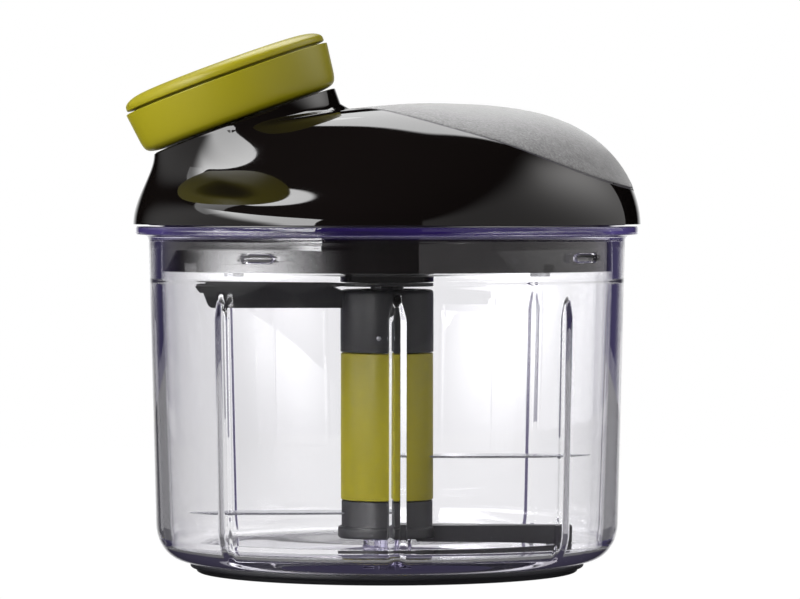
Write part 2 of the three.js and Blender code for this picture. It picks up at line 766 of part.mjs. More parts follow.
function makeTopHub() {
  const { topHubRadius, topHubTop, topHubChamfer } = spindle;
  const hubBottom = spindle.topHubBottom + seatGap;
  let body = solid(turned([
    [0, hubBottom],
    [topHubRadius, hubBottom],
    [topHubRadius, topHubTop - topHubChamfer],
    [topHubRadius - topHubChamfer, topHubTop],
    [0, topHubTop],
  ], sides.medium));

  // Side view of the scraper, drawn in X and Z and then turned to face -Y: a flange that kinks
  // down into the hub, and a web below it
  const shoulder = topHubTop - topHubChamfer;
  const flangeBottom = scraper.flangeTop - scraper.flangeThickness;
  const flangeMiddle = scraper.flangeTop - scraper.flangeThickness / 2;
  const flange = new THREE.Shape();
  flange.moveTo(-scraper.rampEnd, shoulder - scraper.flangeThickness);
  flange.lineTo(-scraper.rampEnd, shoulder);
  flange.lineTo(-scraper.rampStart, scraper.flangeTop);
  flange.lineTo(-scraper.reach, scraper.flangeTop);
  flange.lineTo(scraper.tipSlant - scraper.reach, flangeBottom);
  flange.lineTo(-scraper.rampStart, flangeBottom);
  flange.closePath();
  const web = new THREE.Shape();
  web.moveTo(-scraper.rampEnd, scraper.webBottom);
  web.lineTo(-scraper.rampEnd, shoulder - scraper.flangeThickness / 2);
  web.lineTo(-scraper.rampStart, flangeMiddle);
  web.lineTo(-scraper.webReach, flangeMiddle);
  web.lineTo(-scraper.webFoot, scraper.webBottom);
  web.closePath();
  const upright = new THREE.Matrix4().makeRotationX(Math.PI / 2);
  const flangeBar = slab(flange, -scraper.backY, -scraper.frontY).applyMatrix4(upright);
  const webBar = slab(web, -scraper.webBackY, -scraper.webFrontY).applyMatrix4(upright);
  body = body.add(solid(flangeBar)).add(solid(webBar));

  const coreBore = spindleBore(hubBottom - overrun, spindle.coreTop + seatGap);
  const socket = solid(cylinder(drive.socketRadius, drive.socketFloor, topHubTop + overrun, sides.medium));
  body = body.subtract(coreBore).subtract(socket);
  const keyStart = -drive.toothAngle / 2;
  const key = ringSector(drive.keyTip, drive.socketRadius + drive.rootDepth, keyStart, -keyStart,
    drive.socketFloor - seatGap, drive.keyTop);
  angles(drive.teeth).forEach((angle) => {
    body = body.add(solid(turnedTo(key, angle)));
  });
  return body.subtract(solid(crossPinSolid(1)));
}

// The drive dog's teeth stand just ahead of the socket's keys, ready to push them clockwise
function makeDriveDog() {
  let body = solid(cylinder(drive.neckRadius, drive.toothBottom, drive.neckTop));
  const half = drive.toothAngle / 2;
  const tooth = ringSector(drive.neckRadius - drive.rootDepth, drive.toothTip, -half, half,
    drive.toothBottom, drive.toothTop);
  angles(drive.teeth, drive.toothAngle + drive.leadAngle).forEach((angle) => {
    body = body.add(solid(turnedTo(tooth, angle)));
  });
  const boreRadius = shaft.radius + runningGap;
  const bore = cylinder(boreRadius, drive.toothTop - seatGap, drive.neckTop + overrun, sides.tiny);
  return body.subtract(solid(bore));
}

// Lid pieces

function screwPosts(radius, bottom, top) {
  return angles(screwPost.count, screwPost.firstAngle).map((angle) => {
    const post = cylinder(radius, bottom, top, sides.tiny).translate(screwPost.circle, 0, 0);
    return solid(turnedTo(post, angle));
  });
}

function makeLidShell() {
  const outer = lidBlock(0);
  const inside = lidBlock(lid.wall, overrun);
  const ceiling = lid.bottom + lid.crown;
  let body = outer.subtract(inside);

  const shoulder = bushBottom + topBush.flangeThickness + seatGap;
  const bushPost = solid(cylinder(topBush.radius + topBush.postWall, shoulder, ceiling));
  [bushPost, ...screwPosts(screwPost.radius, floorTop + seatGap, ceiling)].forEach((post) => {
    const upper = post.intersect(lidBlock(lid.wall / 2, ceiling));
    body = body.add(upper);
  });
  const bushHole = cylinder(topBush.radius + runningGap, bushBottom, bushTop + seatGap);
  body = body.subtract(solid(bushHole));
  screwPosts(screwPost.pilotRadius, floorTop - overrun, floorTop + screwPost.pilotDepth).forEach((pilot) => {
    body = body.subtract(pilot);
  });

  const hole = cylinder(guide.stemRadius + runningGap, -guide.length, overrun).applyMatrix4(handleFrame);
  body = body.subtract(solid(hole));

  const recess = solid(ellipsePrism(pad.middleX, pad.halfLength + pad.edgeGap, pad.halfWidth + pad.edgeGap,
    lid.bottom, ceiling + overrun));
  const seat = lidBlock(pad.thickness - pad.proud + pad.edgeGap, overrun);
  return body.subtract(recess.subtract(seat));
}

function makeGripPad() {
  const prism = solid(ellipsePrism(pad.middleX, pad.halfLength, pad.halfWidth, lid.bottom,
    lid.bottom + lid.crown + overrun));
  const face = lidBlock(-pad.proud);
  const back = lidBlock(pad.thickness - pad.proud, overrun);
  return prism.intersect(face).subtract(back);
}

function makeLidBase() {
  const flangeTop = collar.flangeBottom + collar.flangeThickness;
  let body = solid(turned([
    [0, collar.bossBottom],
    [collar.bossRadius - collar.bossChamfer, collar.bossBottom],
    [collar.bossRadius, collar.bossBottom + collar.bossChamfer],
    [collar.bossRadius, collar.bottom],
    [collar.radius, collar.bottom],
    [collar.radius, collar.flangeBottom],
    [collar.flangeRadius, collar.flangeBottom],
    [collar.flangeRadius, flangeTop],
    [collar.radius - collar.wall, flangeTop],
    [collar.radius - collar.wall, floorTop],
    [0, floorTop],
  ], sides.large));

  const slotFloor = collar.radius - bayonet.slotDepth;
  const slotReach = collar.radius + overrun;
  const slotHalf = bayonet.lugHeight / 2 + bayonet.slotGap;
  const lugEnd = bayonet.lugHalfAngle + bayonet.slotSpare;
  const entryMiddle = -bayonet.turn;
  const run = ringSector(slotFloor, slotReach, entryMiddle - bayonet.entryHalfAngle, lugEnd,
    bayonet.lugMiddle - slotHalf, bayonet.lugMiddle + slotHalf);
  const entry = ringSector(slotFloor, slotReach, entryMiddle - bayonet.entryHalfAngle,
    entryMiddle + bayonet.entryHalfAngle, collar.bottom - overrun, bayonet.lugMiddle);
  angles(bayonet.count, bayonet.firstAngle - Math.PI / 2).forEach((angle) => {
    body = body.subtract(solid(turnedTo(run, angle)));
    body = body.subtract(solid(turnedTo(entry, angle)));
  });

  const bushHole = cylinder(lowerBush.radius + runningGap, collar.bossBottom - overrun, floorTop + overrun);
  body = body.subtract(solid(bushHole));
  const shankHole = lidScrew.shankRadius + runningGap;
  screwPosts(shankHole, collar.bottom - overrun, floorTop + overrun).forEach((hole) => {
    body = body.subtract(hole);
  });
  const recessTop = collar.bottom + lidScrew.headHeight + seatGap;
  screwPosts(lidScrew.recessRadius, collar.bottom - overrun, recessTop).forEach((hole) => {
    body = body.subtract(hole);
  });
  const holeBottom = floorTop - caseScrew.bite - seatGap;
  caseEars(springCase.screwHole, holeBottom, floorTop + overrun).forEach((hole) => {
    body = body.subtract(hole);
  });
  return body;
}

function makeSeal() {
  return turned([
    [seal.inner, seal.bottom],
    [seal.outer - seal.lipInset, seal.bottom],
    [seal.outer, seal.bottom + seal.lipHeight],
    [seal.outer, seal.top],
    [seal.inner, seal.top],
    [seal.inner, seal.bottom],
  ], sides.large);
}

function screw(size) {
  return turned([
    [0, 0],
    [size.headRadius, 0],
    [size.headRadius, size.headHeight],
    [size.shankRadius, size.headHeight],
    [size.shankRadius, size.length],
    [0, size.length],
  ], sides.tiny);
}

function caseEars(radius, bottom, top) {
  return angles(springCase.earCount, springCase.earFirstAngle).map((angle) => {
    const ear = cylinder(radius, bottom, top, sides.tiny).translate(springCase.earCircle, 0, 0);
    return solid(turnedTo(ear, angle));
  });
}

function makeSpringCase() {
  let body = solid(tube(springCase.holeRadius, springCase.radius, caseBottom, caseTop, sides.medium));
  caseEars(springCase.earRadius, caseBottom, caseBottom + springCase.earHeight).forEach((ear) => {
    body = body.add(ear);
  });
  const well = cylinder(springCase.radius - springCase.wall, caseBottom + springCase.floor, caseTop + overrun,
    sides.medium);
  body = body.subtract(solid(well));
  caseEars(springCase.screwHole, caseBottom - overrun, caseTop).forEach((hole) => {
    body = body.subtract(hole);
  });
  return body;
}

function makeSpringCover() {
  return tube(springCase.holeRadius, springCase.radius, coverBottom, coverTop, sides.medium);
}

// A flat strip wound in a steady spiral from the spool's arbor out to the case wall
function makeSpring() {
  const inner = spool.arborRadius + spring.endGap;
  const outer = springCase.radius - springCase.wall - spring.endGap - spring.thickness;
  const steps = spring.turns * spring.stepsPerTurn;
  const edge = (extra) => Array.from({ length: steps + 1 }, (_, index) => {
    const share = index / steps;
    const angle = share * spring.turns * fullTurn;
    const radius = mix(inner, outer, share) + extra;
    return new THREE.Vector2(radius * Math.cos(angle), radius * Math.sin(angle));
  });
  const outline = [...edge(spring.thickness), ...edge(0).toReversed()];
  const bottom = caseBottom + springCase.floor + spring.floorGap;
  return slab(new THREE.Shape(outline), bottom, bottom + spring.height);
}

function makeSpool() {
  const bore = shaft.radius + runningGap;
  return turned([
    [bore, arborBottom],
    [spool.arborRadius, arborBottom],
    [spool.arborRadius, spoolBottom],
    [spool.flangeRadius, spoolBottom],
    [spool.flangeRadius, drumBottom],
    [spool.drumRadius, drumBottom],
    [spool.drumRadius, drumTop],
    [spool.flangeRadius, drumTop],
    [spool.flangeRadius, spoolTop],
    [bore, spoolTop],
    [bore, arborBottom],
  ], sides.medium);
}

function makeWinding() {
  return tube(
    spool.drumRadius + seatGap,
    spool.windingRadius,
    drumBottom + seatGap,
    drumTop - seatGap,
    sides.medium,
  );
}

function makeTopBush() {
  const bore = shaft.radius + runningGap;
  const shoulder = bushBottom + topBush.flangeThickness;
  return turned([
    [bore, bushBottom],
    [topBush.flangeRadius, bushBottom],
    [topBush.flangeRadius, shoulder],
    [topBush.radius, shoulder],
    [topBush.radius, bushTop],
    [bore, bushTop],
    [bore, bushBottom],
  ]);
}

function makeLowerBush() {
  const bore = drive.neckRadius + runningGap;
  return turned([
    [bore, collar.bossBottom + seatGap],
    [lowerBush.radius, collar.bossBottom + seatGap],
    [lowerBush.radius, caseBottom],
    [lowerBush.flangeRadius, caseBottom],
    [lowerBush.flangeRadius, lowerBushTop],
    [bore, lowerBushTop],
    [bore, collar.bossBottom + seatGap],
  ]);
}

// Cord guide, in the handle's frame: a stem through the neck's top with a flared mouth below
function makeGuide() {
  const flangeTop = -lid.wall - seatGap;
  const flangeBottom = flangeTop - guide.flangeThickness;
  const flare = angles(sides.small)
    .filter((angle) => angle > 0 && angle < Math.PI / 2)
    .map((angle) => [
      guide.throat + (guide.mouth - guide.throat) * (1 - Math.cos(angle)),
      -guide.length * Math.sin(angle),
    ]);
  const points = [
    [guide.throat, 0],
    [guide.stemRadius, 0],
    [guide.stemRadius, flangeTop],
    [guide.flangeRadius, flangeTop],
    [guide.flangeRadius, flangeBottom],
    [guide.stemRadius, flangeBottom],
    [guide.stemRadius, -guide.length],
    [guide.mouth, -guide.length],
    ...flare.toReversed(),
    [guide.throat, 0],
  ];
  return turned(points.toReversed()).applyMatrix4(handleFrame);
}

// The cord's run from the spool's outer turn through the guide and up into the handle
const leadRadius = spool.windingRadius + cord.radius + seatGap;

function makeCordLead() {
  const onAxis = (height) => new THREE.Vector3(handle.axisX, 0, handle.axisZ).addScaledVector(neckUp, height);
  const corner = onAxis(-cord.bendBelowNeck);
  const reach = Math.hypot(corner.x, corner.y);
  const turn = Math.PI + Math.acos(leadRadius / reach);
  const start = new THREE.Vector3(leadRadius * Math.cos(turn), leadRadius * Math.sin(turn), cord.runHeight);
  const towards = start.clone().sub(corner).normalize();
  const bendStart = corner.clone().addScaledVector(towards, cord.bendRun);
  const bendEnd = corner.clone().addScaledVector(neckUp, cord.bendRun);
  const end = onAxis(handle.parkGap + handle.pocketFloor + seatGap);
  const route = new THREE.CurvePath();
  route.add(new THREE.LineCurve3(start, bendStart));
  route.add(new THREE.QuadraticBezierCurve3(bendStart, corner, bendEnd));
  route.add(new THREE.LineCurve3(bendEnd, end));
  return alongCurve(route, cord.radius, cord.steps);
}

// Handle pieces, in the handle's frame with the handle's underside at parkGap

function makeHandleBody() {
  const foot = handle.parkGap;
  const top = foot + handle.bodyHeight;
  let body = solid(turned([
    [0, foot],
    [handle.footRadius, foot],
    [mix(handle.footRadius, handle.waistRadius, handle.footRoundShares[0]),
      foot + handle.waistHeight * handle.footRoundShares[1]],
    [handle.waistRadius, foot + handle.waistHeight],
    [handle.radius, top],
    [handle.radius - handle.wall, top],
    [handle.waistRadius - handle.wall, foot + handle.waistHeight],
    [handle.waistRadius - handle.wall, foot + handle.wall],
    [handle.postRadius, foot + handle.wall],
    [handle.postRadius, foot + handle.pocketTop],
    [0, foot + handle.pocketTop],
  ], sides.large));
  const hole = cylinder(handle.holeRadius, foot - overrun, foot + handle.pocketTop, sides.tiny);
  const pocketTop = foot + handle.pocketTop + overrun;
  const pocket = cylinder(handle.pocketRadius, foot + handle.pocketFloor, pocketTop, sides.small);
  body = body.subtract(solid(hole)).subtract(solid(pocket));
  return body.transform(handleFrame.elements);
}

function makeHandleCap() {
  const bottom = handle.parkGap + handle.bodyHeight + handle.splitGap;
  const top = handle.parkGap + handle.height;
  const crownStart = bottom + handle.capStraight;
  const spigotOuter = handle.radius - handle.wall - seatGap;
  const spigotInner = spigotOuter - handle.spigotWall;
  const ceiling = top - handle.wall;
  const shoulder = angles(sides.small)
    .filter((angle) => angle > 0 && angle < Math.PI / 2 - degree)
    .map((angle) => [
      handle.capCrownRadius + handle.capCrownInset * Math.cos(angle),
      crownStart + (top - crownStart) * Math.sin(angle),
    ]);
  return turned([
    [0, ceiling],
    [spigotInner, ceiling],
    [spigotInner, bottom - handle.spigotDepth],
    [spigotOuter, bottom - handle.spigotDepth],
    [spigotOuter, bottom],
    [handle.capRadius, bottom],
    [handle.capRadius, crownStart],
    ...shoulder,
    [handle.capCrownRadius, top],
    [0, top],
  ], sides.large).applyMatrix4(handleFrame);
}

function makeKnot() {
  const middle = handle.parkGap + handle.pocketFloor + cord.knotRadius + seatGap * 2;
  return new THREE.SphereGeometry(cord.knotRadius, sides.tiny, sides.tiny / 2)
    .rotateX(Math.PI / 2)
    .translate(0, 0, middle)
    .applyMatrix4(handleFrame);
}

function screwPlaces(count, first, circle, bottom) {
  return angles(count, first).map((angle) => (
    new THREE.Matrix4().makeTranslation(circle * Math.cos(angle), circle * Math.sin(angle), bottom)
  ));
}

// Assembly

const group = new THREE.Group();

group.add(meshOf("bowl", makeBowl(), "clearBowl"));
group.add(meshOf("non_slip_base", makeBase(), "baseRubber"));
group.add(meshOf("pivot_pin", makePin(), "steel"));

const spindleGroup = new THREE.Group();
spindleGroup.add(meshOf("blade_core", makeCore(), "acetal"));
spindleGroup.add(meshOf("bottom_hub", makeBottomHub(), "hubGrey"));
spindleGroup.add(meshOf("blade_sleeve", makeSleeve(), "oliveGreen"));
spindleGroup.add(meshOf("top_hub", makeTopHub(), "hubGrey"));
spindleGroup.add(meshOf("cross_pin", crossPinSolid(0), "steel"));
spindleGroup.add(meshOf("upper_blade", bladeSlab(blade.upperReach, blade.upperMiddle), "steel"));
const lowerBlade = turnedTo(bladeSlab(blade.lowerReach, blade.lowerMiddle), Math.PI);
spindleGroup.add(meshOf("lower_blade", lowerBlade, "steel"));
group.add(spindleGroup);

const lidGroup = new THREE.Group();
lidGroup.add(meshOf("lid_shell", makeLidShell(), "glossBlack"));
lidGroup.add(meshOf("grip_pad", makeGripPad(), "gripBlack"));
lidGroup.add(meshOf("lid_base", makeLidBase(), "glossBlack"));
lidGroup.add(meshOf("lid_seal", makeSeal(), "sealRubber"));
lidGroup.add(meshOf("spring_case", makeSpringCase(), "acetal"));
lidGroup.add(meshOf("spring_cover", makeSpringCover(), "acetal"));
lidGroup.add(meshOf("return_spring", makeSpring(), "steel"));
lidGroup.add(meshOf("top_bush", makeTopBush(), "acetal"));
lidGroup.add(meshOf("lower_bush", makeLowerBush(), "acetal"));
lidGroup.add(meshOf("cord_guide", makeGuide(), "acetal"));
lidGroup.add(meshOf("cord_lead", makeCordLead(), "cordGrey"));
screwPlaces(screwPost.count, screwPost.firstAngle, screwPost.circle, collar.bottom)
  .forEach((place, index) => {
    lidGroup.add(meshOf(`lid_screw_${index + 1}`, screw(lidScrew), "steel", place));
  });
const flipped = new THREE.Matrix4().makeRotationX(Math.PI);
const caseScrewTop = caseBottom + springCase.earHeight + seatGap + caseScrew.headHeight;
screwPlaces(springCase.earCount, springCase.earFirstAngle, springCase.earCircle, caseScrewTop)
  .forEach((place, index) => {
    lidGroup.add(meshOf(`case_screw_${index + 1}`, screw(caseScrew), "steel", place.multiply(flipped)));
  });
group.add(lidGroup);

const spoolGroup = new THREE.Group();
spoolGroup.add(meshOf("spool", makeSpool(), "acetal"));
spoolGroup.add(meshOf("cord_winding", makeWinding(), "cordGrey"));
spoolGroup.add(meshOf("spool_shaft", cylinder(shaft.radius, drive.toothTop, shaftTop, sides.tiny), "steel"));
spoolGroup.add(meshOf("drive_dog", makeDriveDog(), "hubGrey"));
group.add(spoolGroup);

const handleGroup = new THREE.Group();
handleGroup.add(meshOf("handle_body", makeHandleBody(), "oliveGreen"));
handleGroup.add(meshOf("handle_cap", makeHandleCap(), "oliveGreen"));
handleGroup.add(meshOf("cord_knot", makeKnot(), "cordGrey"));
group.add(handleGroup);

export default group;
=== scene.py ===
import math
from types import SimpleNamespace as Sizes

import bmesh
import bpy
from mathutils import Matrix, Vector
from mathutils.bvhtree import BVHTree


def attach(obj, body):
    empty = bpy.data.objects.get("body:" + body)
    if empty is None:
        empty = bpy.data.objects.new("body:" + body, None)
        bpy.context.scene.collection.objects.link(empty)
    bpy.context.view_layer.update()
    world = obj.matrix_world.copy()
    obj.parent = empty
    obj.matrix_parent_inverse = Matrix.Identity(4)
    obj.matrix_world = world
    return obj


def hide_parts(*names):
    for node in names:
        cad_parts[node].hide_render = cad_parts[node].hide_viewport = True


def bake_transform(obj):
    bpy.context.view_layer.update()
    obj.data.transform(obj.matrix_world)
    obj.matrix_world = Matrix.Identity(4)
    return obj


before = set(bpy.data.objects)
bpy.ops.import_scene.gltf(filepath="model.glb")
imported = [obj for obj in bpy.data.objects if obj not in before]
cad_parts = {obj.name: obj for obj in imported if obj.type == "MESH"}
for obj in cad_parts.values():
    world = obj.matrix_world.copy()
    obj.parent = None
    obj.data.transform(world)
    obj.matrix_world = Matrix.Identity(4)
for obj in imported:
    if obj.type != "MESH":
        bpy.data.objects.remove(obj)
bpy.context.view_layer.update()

# Sizes in millimetres, as in the solids
MM = 0.001
DEGREE = math.radians(1)
FRONT = -90 * DEGREE
SEAT_GAP = 0.3

# Light panels stand this far off in metres, measured at the lid's height
PANEL_DISTANCE = 1.3
LID_HEIGHT = 0.14

bowl = Sizes(
    rim_radius=76, rim_top=104.5, rim_thickness=2.5, rim_round=0.5, flange_fillet=2,
    outer_top=72.1, outer_bottom=70, corner_start=15, corner_height=11.5, corner_width=9.1,
    bottom=3.5, bottom_radius=60.9, groove_inner=48.7, groove_outer=52.3, groove_top=5.3,
    mouth_radius=68.4, ledge=88.6, ledge_taper=0.8, inner_top=68.25, inner_bottom=65.8,
    floor_top=8, floor_fillet=3.2, wall_bottom=4.2, corner_steps=14,
    boss_radius=7.4, boss_top=9.9, pin_hole=2.65, pin_hole_bottom=4.9,
    column_step=2.1 * DEGREE, wall_rows=3.5, scoop_rows=0.45, upper_rows=2.5, inner_rows=6,
    corner_rows=0.5,
)
rib = Sizes(
    count=8, first=2.4, depth=0.75, half_width=2.67, floor_half=0.88, top=83, scoop=3.2,
    narrow_top=0.55, full_width=77, bottom=6.2, fade=3.2,
)
lug = Sizes(
    count=4, first=57, half_angle=4.5, half_height=1.3, middle=95.35, reach=1.5,
    edge_inside=0.35, edge_outside=0.15,
)
base = Sizes(
    ground=57.7, foot_width=8, lip=59.6, lip_bottom=1.4, lip_top=3.2,
    snap_inner=49, snap_outer=52, snap_top=5, middle_flat=6,
)
spindle = Sizes(
    core=8.15, sleeve=14, sleeve_bottom=21.6, sleeve_top=65.9,
    flange=14.9, flange_bottom=10.2, flange_top=13.6, lower_hub=13.8, lower_hub_top=21.3,
    top_hub=14.1, top_hub_bottom=66.2, top_hub_top=84.8, socket=8.6, socket_floor=75.3,
)
scraper = Sizes(
    reach=58, web_reach=56, web_foot=53.8, flange_top=86, thickness=1.9, web_bottom=79.5,
    back=3, front=-6, web_front=-4, web_back=-1.4, tip_slant=1.5, ramp_start=17.5, ramp_end=12.5,
)
sweeper = Sizes(reach=56.4, bottom=9.1, top=13.9, root=8.55, root_half=4.6, tip_half=2.4)
blade = Sizes(
    thickness=0.8, root=8.15, root_half=5.5, belly=8.5, sweep=3, edge_bend=0.6, spine_bend=0.5,
    upper_height=34.5, upper_reach=62.4, lower_height=17.4, lower_reach=59.7, grind=2.4, edge=0.3,
    tip_grind=2.5, steps=16,
)
cross_pin = Sizes(radius=0.75, half_length=14.2, height=70.6, angle=-99.9)
lid = Sizes(
    radius=76.8, bottom=105.1, crown=36.3, crown_power=3.8, crown_round=0.55, wall=2.4,
    sag=4, sag_curve=0.003, sag_from=16,
    neck_radius=29.2, neck_tilt=20 * DEGREE, neck_x=-43.1, neck_z=136.35, neck_lip=5,
    steep_run=12, steep_share=0.85, rim_share=0.38, dome_until=50 * DEGREE, swept_from=118 * DEGREE,
    columns=224, rows=56, row_power=1.35, cord_hole=6.15, neck_flat=14,
)
pad = Sizes(
    middle_x=30.4, half_length=44, half_width=55.2, proud=0.15, edge=0.45, depth=0.6,
    groove=0.35, groove_depth=0.3, columns=200,
)
collar = Sizes(
    radius=68, wall=3, bottom=90, floor_top=92.4, flange_radius=72.6, flange_bottom=106.05,
    flange_top=108.05, boss_radius=14.2, boss_bottom=85.7, boss_chamfer=1.6, bush_hole=6.75,
)
slot = Sizes(
    depth=1.8, half_height=1.65, lug_end=5.2, turn=18, entry_half=5.6, lean=0.9, lean_drop=5,
    side_half=0.06, edge_half=0.08,
)
seal = Sizes(inner=69.2, outer=72.3, bottom=104.8, top=105.9)
post = Sizes(circle=52, radius=4, count=3, first=90, bottom=92.7)
drum = Sizes(radius=16, bottom=107.3, top=119.9, layers=2)
cord = Sizes(
    radius=1, run_height=110, bend_below=8, bend_run=6, knot=3.2, lead_radius=21.3,
    pitch=2.05, layer_pitch=1.75, steps_per_turn=30, level_steps=6, bend_steps=8, rise_steps=48,
    knot_steps=96,
)
handle = Sizes(
    axis_x=-43.84706, axis_z=136.07810, park=0.6, radius=32.3, waist=30.95, waist_height=2.6,
    foot=27.05, body_top=13.75, split_top=14.55, top=18.45, cap_straight=1.05, cap=31.7, crown=24.5,
    wall=2.4, pocket=4, pocket_floor=4.2, pocket_top=11.2, post=6.4, hole=1.8, spigot_wall=2, spigot_depth=3,
)
NECK_UP = Vector((-math.sin(lid.neck_tilt), 0, math.cos(lid.neck_tilt)))
HANDLE_FRAME = (
    Matrix.Translation((handle.axis_x, 0, handle.axis_z)) @ Matrix.Rotation(-lid.neck_tilt, 4, "Y")
)


# Small maths

def mix(low, high, share):
    return low + (high - low) * share


def clamp(value):
    return max(0.0, min(1.0, value))


def smooth(low, high, value):
    share = clamp((value - low) / (high - low))
    return share * share * (3 - 2 * share)


def around(count, first=0.0):
    return [first + index * math.tau / count for index in range(count)]


def polar(radius, angle, height):
    return Vector((radius * math.cos(angle), radius * math.sin(angle), height))


def circle(radius, height, angles):
    return [polar(radius, angle, height) for angle in angles]


def carved(profile, columns, depth):
    """Rings of a turned shape that is cut in by a depth that varies with the place."""
    return [[polar(radius - depth(angle, radius, height), angle, height) for angle in columns]
            for radius, height in profile]


def arc(middle, height, width, rise, turns):
    """Points of part of an ellipse."""
    return [(middle + width * math.cos(turn), height + rise * math.sin(turn)) for turn in turns]


def angle_between(angle, other):
    return math.atan2(math.sin(angle - other), math.cos(angle - other))


def nearest_offset(angle, middles):
    return min((angle_between(angle, middle) for middle in middles), key=abs)


def spaced(low, high, step):
    count = max(1, math.ceil(abs(high - low) / step))
    return [mix(low, high, index / count) for index in range(count + 1)]


def curve(start, bend, end, steps):
    shares = [index / steps for index in range(steps + 1)]
    return [start.lerp(bend, share).lerp(bend.lerp(end, share), share) for share in shares]


def softened(points, closed=False, steps=3):
    """A polyline of (x, y, round) points with its corners drawn as curves of that round."""
    result = []
    count = len(points)
    for index, (x, y, round_off) in enumerate(points):
        here = Vector((x, y))
        if round_off == 0 or (not closed and index in (0, count - 1)):
            result.append((x, y))
            continue
        before = Vector(points[index - 1][:2]) - here
        after = Vector(points[(index + 1) % count][:2]) - here
        start = here + before.normalized() * min(round_off, before.length * 0.49)
        end = here + after.normalized() * min(round_off, after.length * 0.49)
        result += [tuple(point) for point in curve(start, here, end, steps)]
    return result


def rib_middles():
    return around(rib.count, FRONT + rib.first * DEGREE)


def lug_middles():
    return around(lug.count, FRONT + lug.first * DEGREE)


def columns_between(marks, step):
    """Angles all the way round: the marks, and as many between them as the step asks for."""
    columns = []
    for mark, after in zip(marks, marks[1:] + [marks[0] + math.tau]):
        columns += spaced(mark, after, step)[:-1]
    return columns


# Meshes

def placed(name, data):
    """A new object of the scene that shows the data."""
    made = bpy.data.objects.new(name, data)
    bpy.context.scene.collection.objects.link(made)
    return made


class Shape:
    """A mesh in the making, in millimetres."""

    def __init__(self):
        self.mesh = bmesh.new()

    def loft(self, rings, start_cap=True, end_cap=True, round_trip=False):
        rows = [[self.mesh.verts.new(point) for point in ring] for ring in rings]
        if round_trip:
            rows.append(rows[0])
        sides = len(rings[0])
        for lower, upper in zip(rows, rows[1:]):
            for side in range(sides):
                after = (side + 1) % sides
                self.mesh.faces.new((lower[side], lower[after], upper[after], upper[side]))
        if start_cap:
            self.mesh.faces.new(tuple(reversed(rows[0])))
        if end_cap:
            self.mesh.faces.new(tuple(rows[-1]))
        return self

    def band(self, rings):
        """Rings joined in turn and the last one to the first."""
        return self.loft(rings, False, False, round_trip=True)

    def turned(self, profile, columns, hollow=False):
        rings = [circle(radius, height, around(columns)) for radius, height in profile]
        return self.band(rings) if hollow else self.loft(rings)

    def slab(self, outline, bottom, top, edge, matrix=Matrix()):
        """An outline of (x, y) points raised from bottom to top, its edges bevelled by edge."""
        middle = Vector((sum(x for x, _ in outline), sum(y for _, y in outline))) / len(outline)
        rings = []
        for height, inset in ((bottom, edge), (bottom + edge, 0), (top - edge, 0), (top, edge)):
            ring = []
            for x, y in outline:
                inward = middle - Vector((x, y))
                share = inset / max(inward.length, inset * 4)
                ring.append(matrix @ Vector((x + inward.x * share, y + inward.y * share, height)))
            rings.append(ring)
        return self.loft(rings)

    def tube(self, route, radius, sides):
        """A round tube along a route, without twist."""
        rings = []
        normal = None
        for index, point in enumerate(route):
            ahead = route[min(index + 1, len(route) - 1)]
            behind = route[max(index - 1, 0)]
            along = (ahead - behind).normalized()
            if normal is None:
                normal = along.orthogonal().normalized()
            normal = (normal - along * normal.dot(along)).normalized()
            across = along.cross(normal)
            rings.append([
                point + (normal * math.cos(turn) + across * math.sin(turn)) * radius
                for turn in around(sides)
            ])
        return self.loft(rings)

    def moved(self, matrix):
        bmesh.ops.transform(self.mesh, matrix=matrix, verts=self.mesh.verts)
        return self

    def piece(self, name, material, body, finish, replaced=(), sharp=34):
        """Puts the mesh in the scene. Edges that bend by more than sharp degrees stay hard."""
        bmesh.ops.recalc_face_normals(self.mesh, faces=self.mesh.faces)
        bmesh.ops.scale(self.mesh, vec=(MM, MM, MM), verts=self.mesh.verts)
        data = bpy.data.meshes.new(name)
        self.mesh.to_mesh(data)
        self.mesh.free()
        data.shade_smooth()
        data.set_sharp_from_angle(angle=sharp * DEGREE)
        data.materials.append(material)
        made = placed(name, data)
        if replaced:
            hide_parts(*replaced)
        if body:
            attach(made, body)
        return made


# Materials

class Value:
    """A node's output that can be used in sums."""

    def __init__(self, nodes, socket):
        self.nodes = nodes
        self.socket = socket

    def __add__(self, other):
        return self.nodes.math("ADD", self, other)

    def __radd__(self, other):
        return self.nodes.math("ADD", other, self)

    def __sub__(self, other):
        return self.nodes.math("SUBTRACT", self, other)

    def __rsub__(self, other):
        return self.nodes.math("SUBTRACT", other, self)

    def __mul__(self, other):
        return self.nodes.math("MULTIPLY", self, other)

    def __pow__(self, other):
        return self.nodes.math("POWER", self, other)


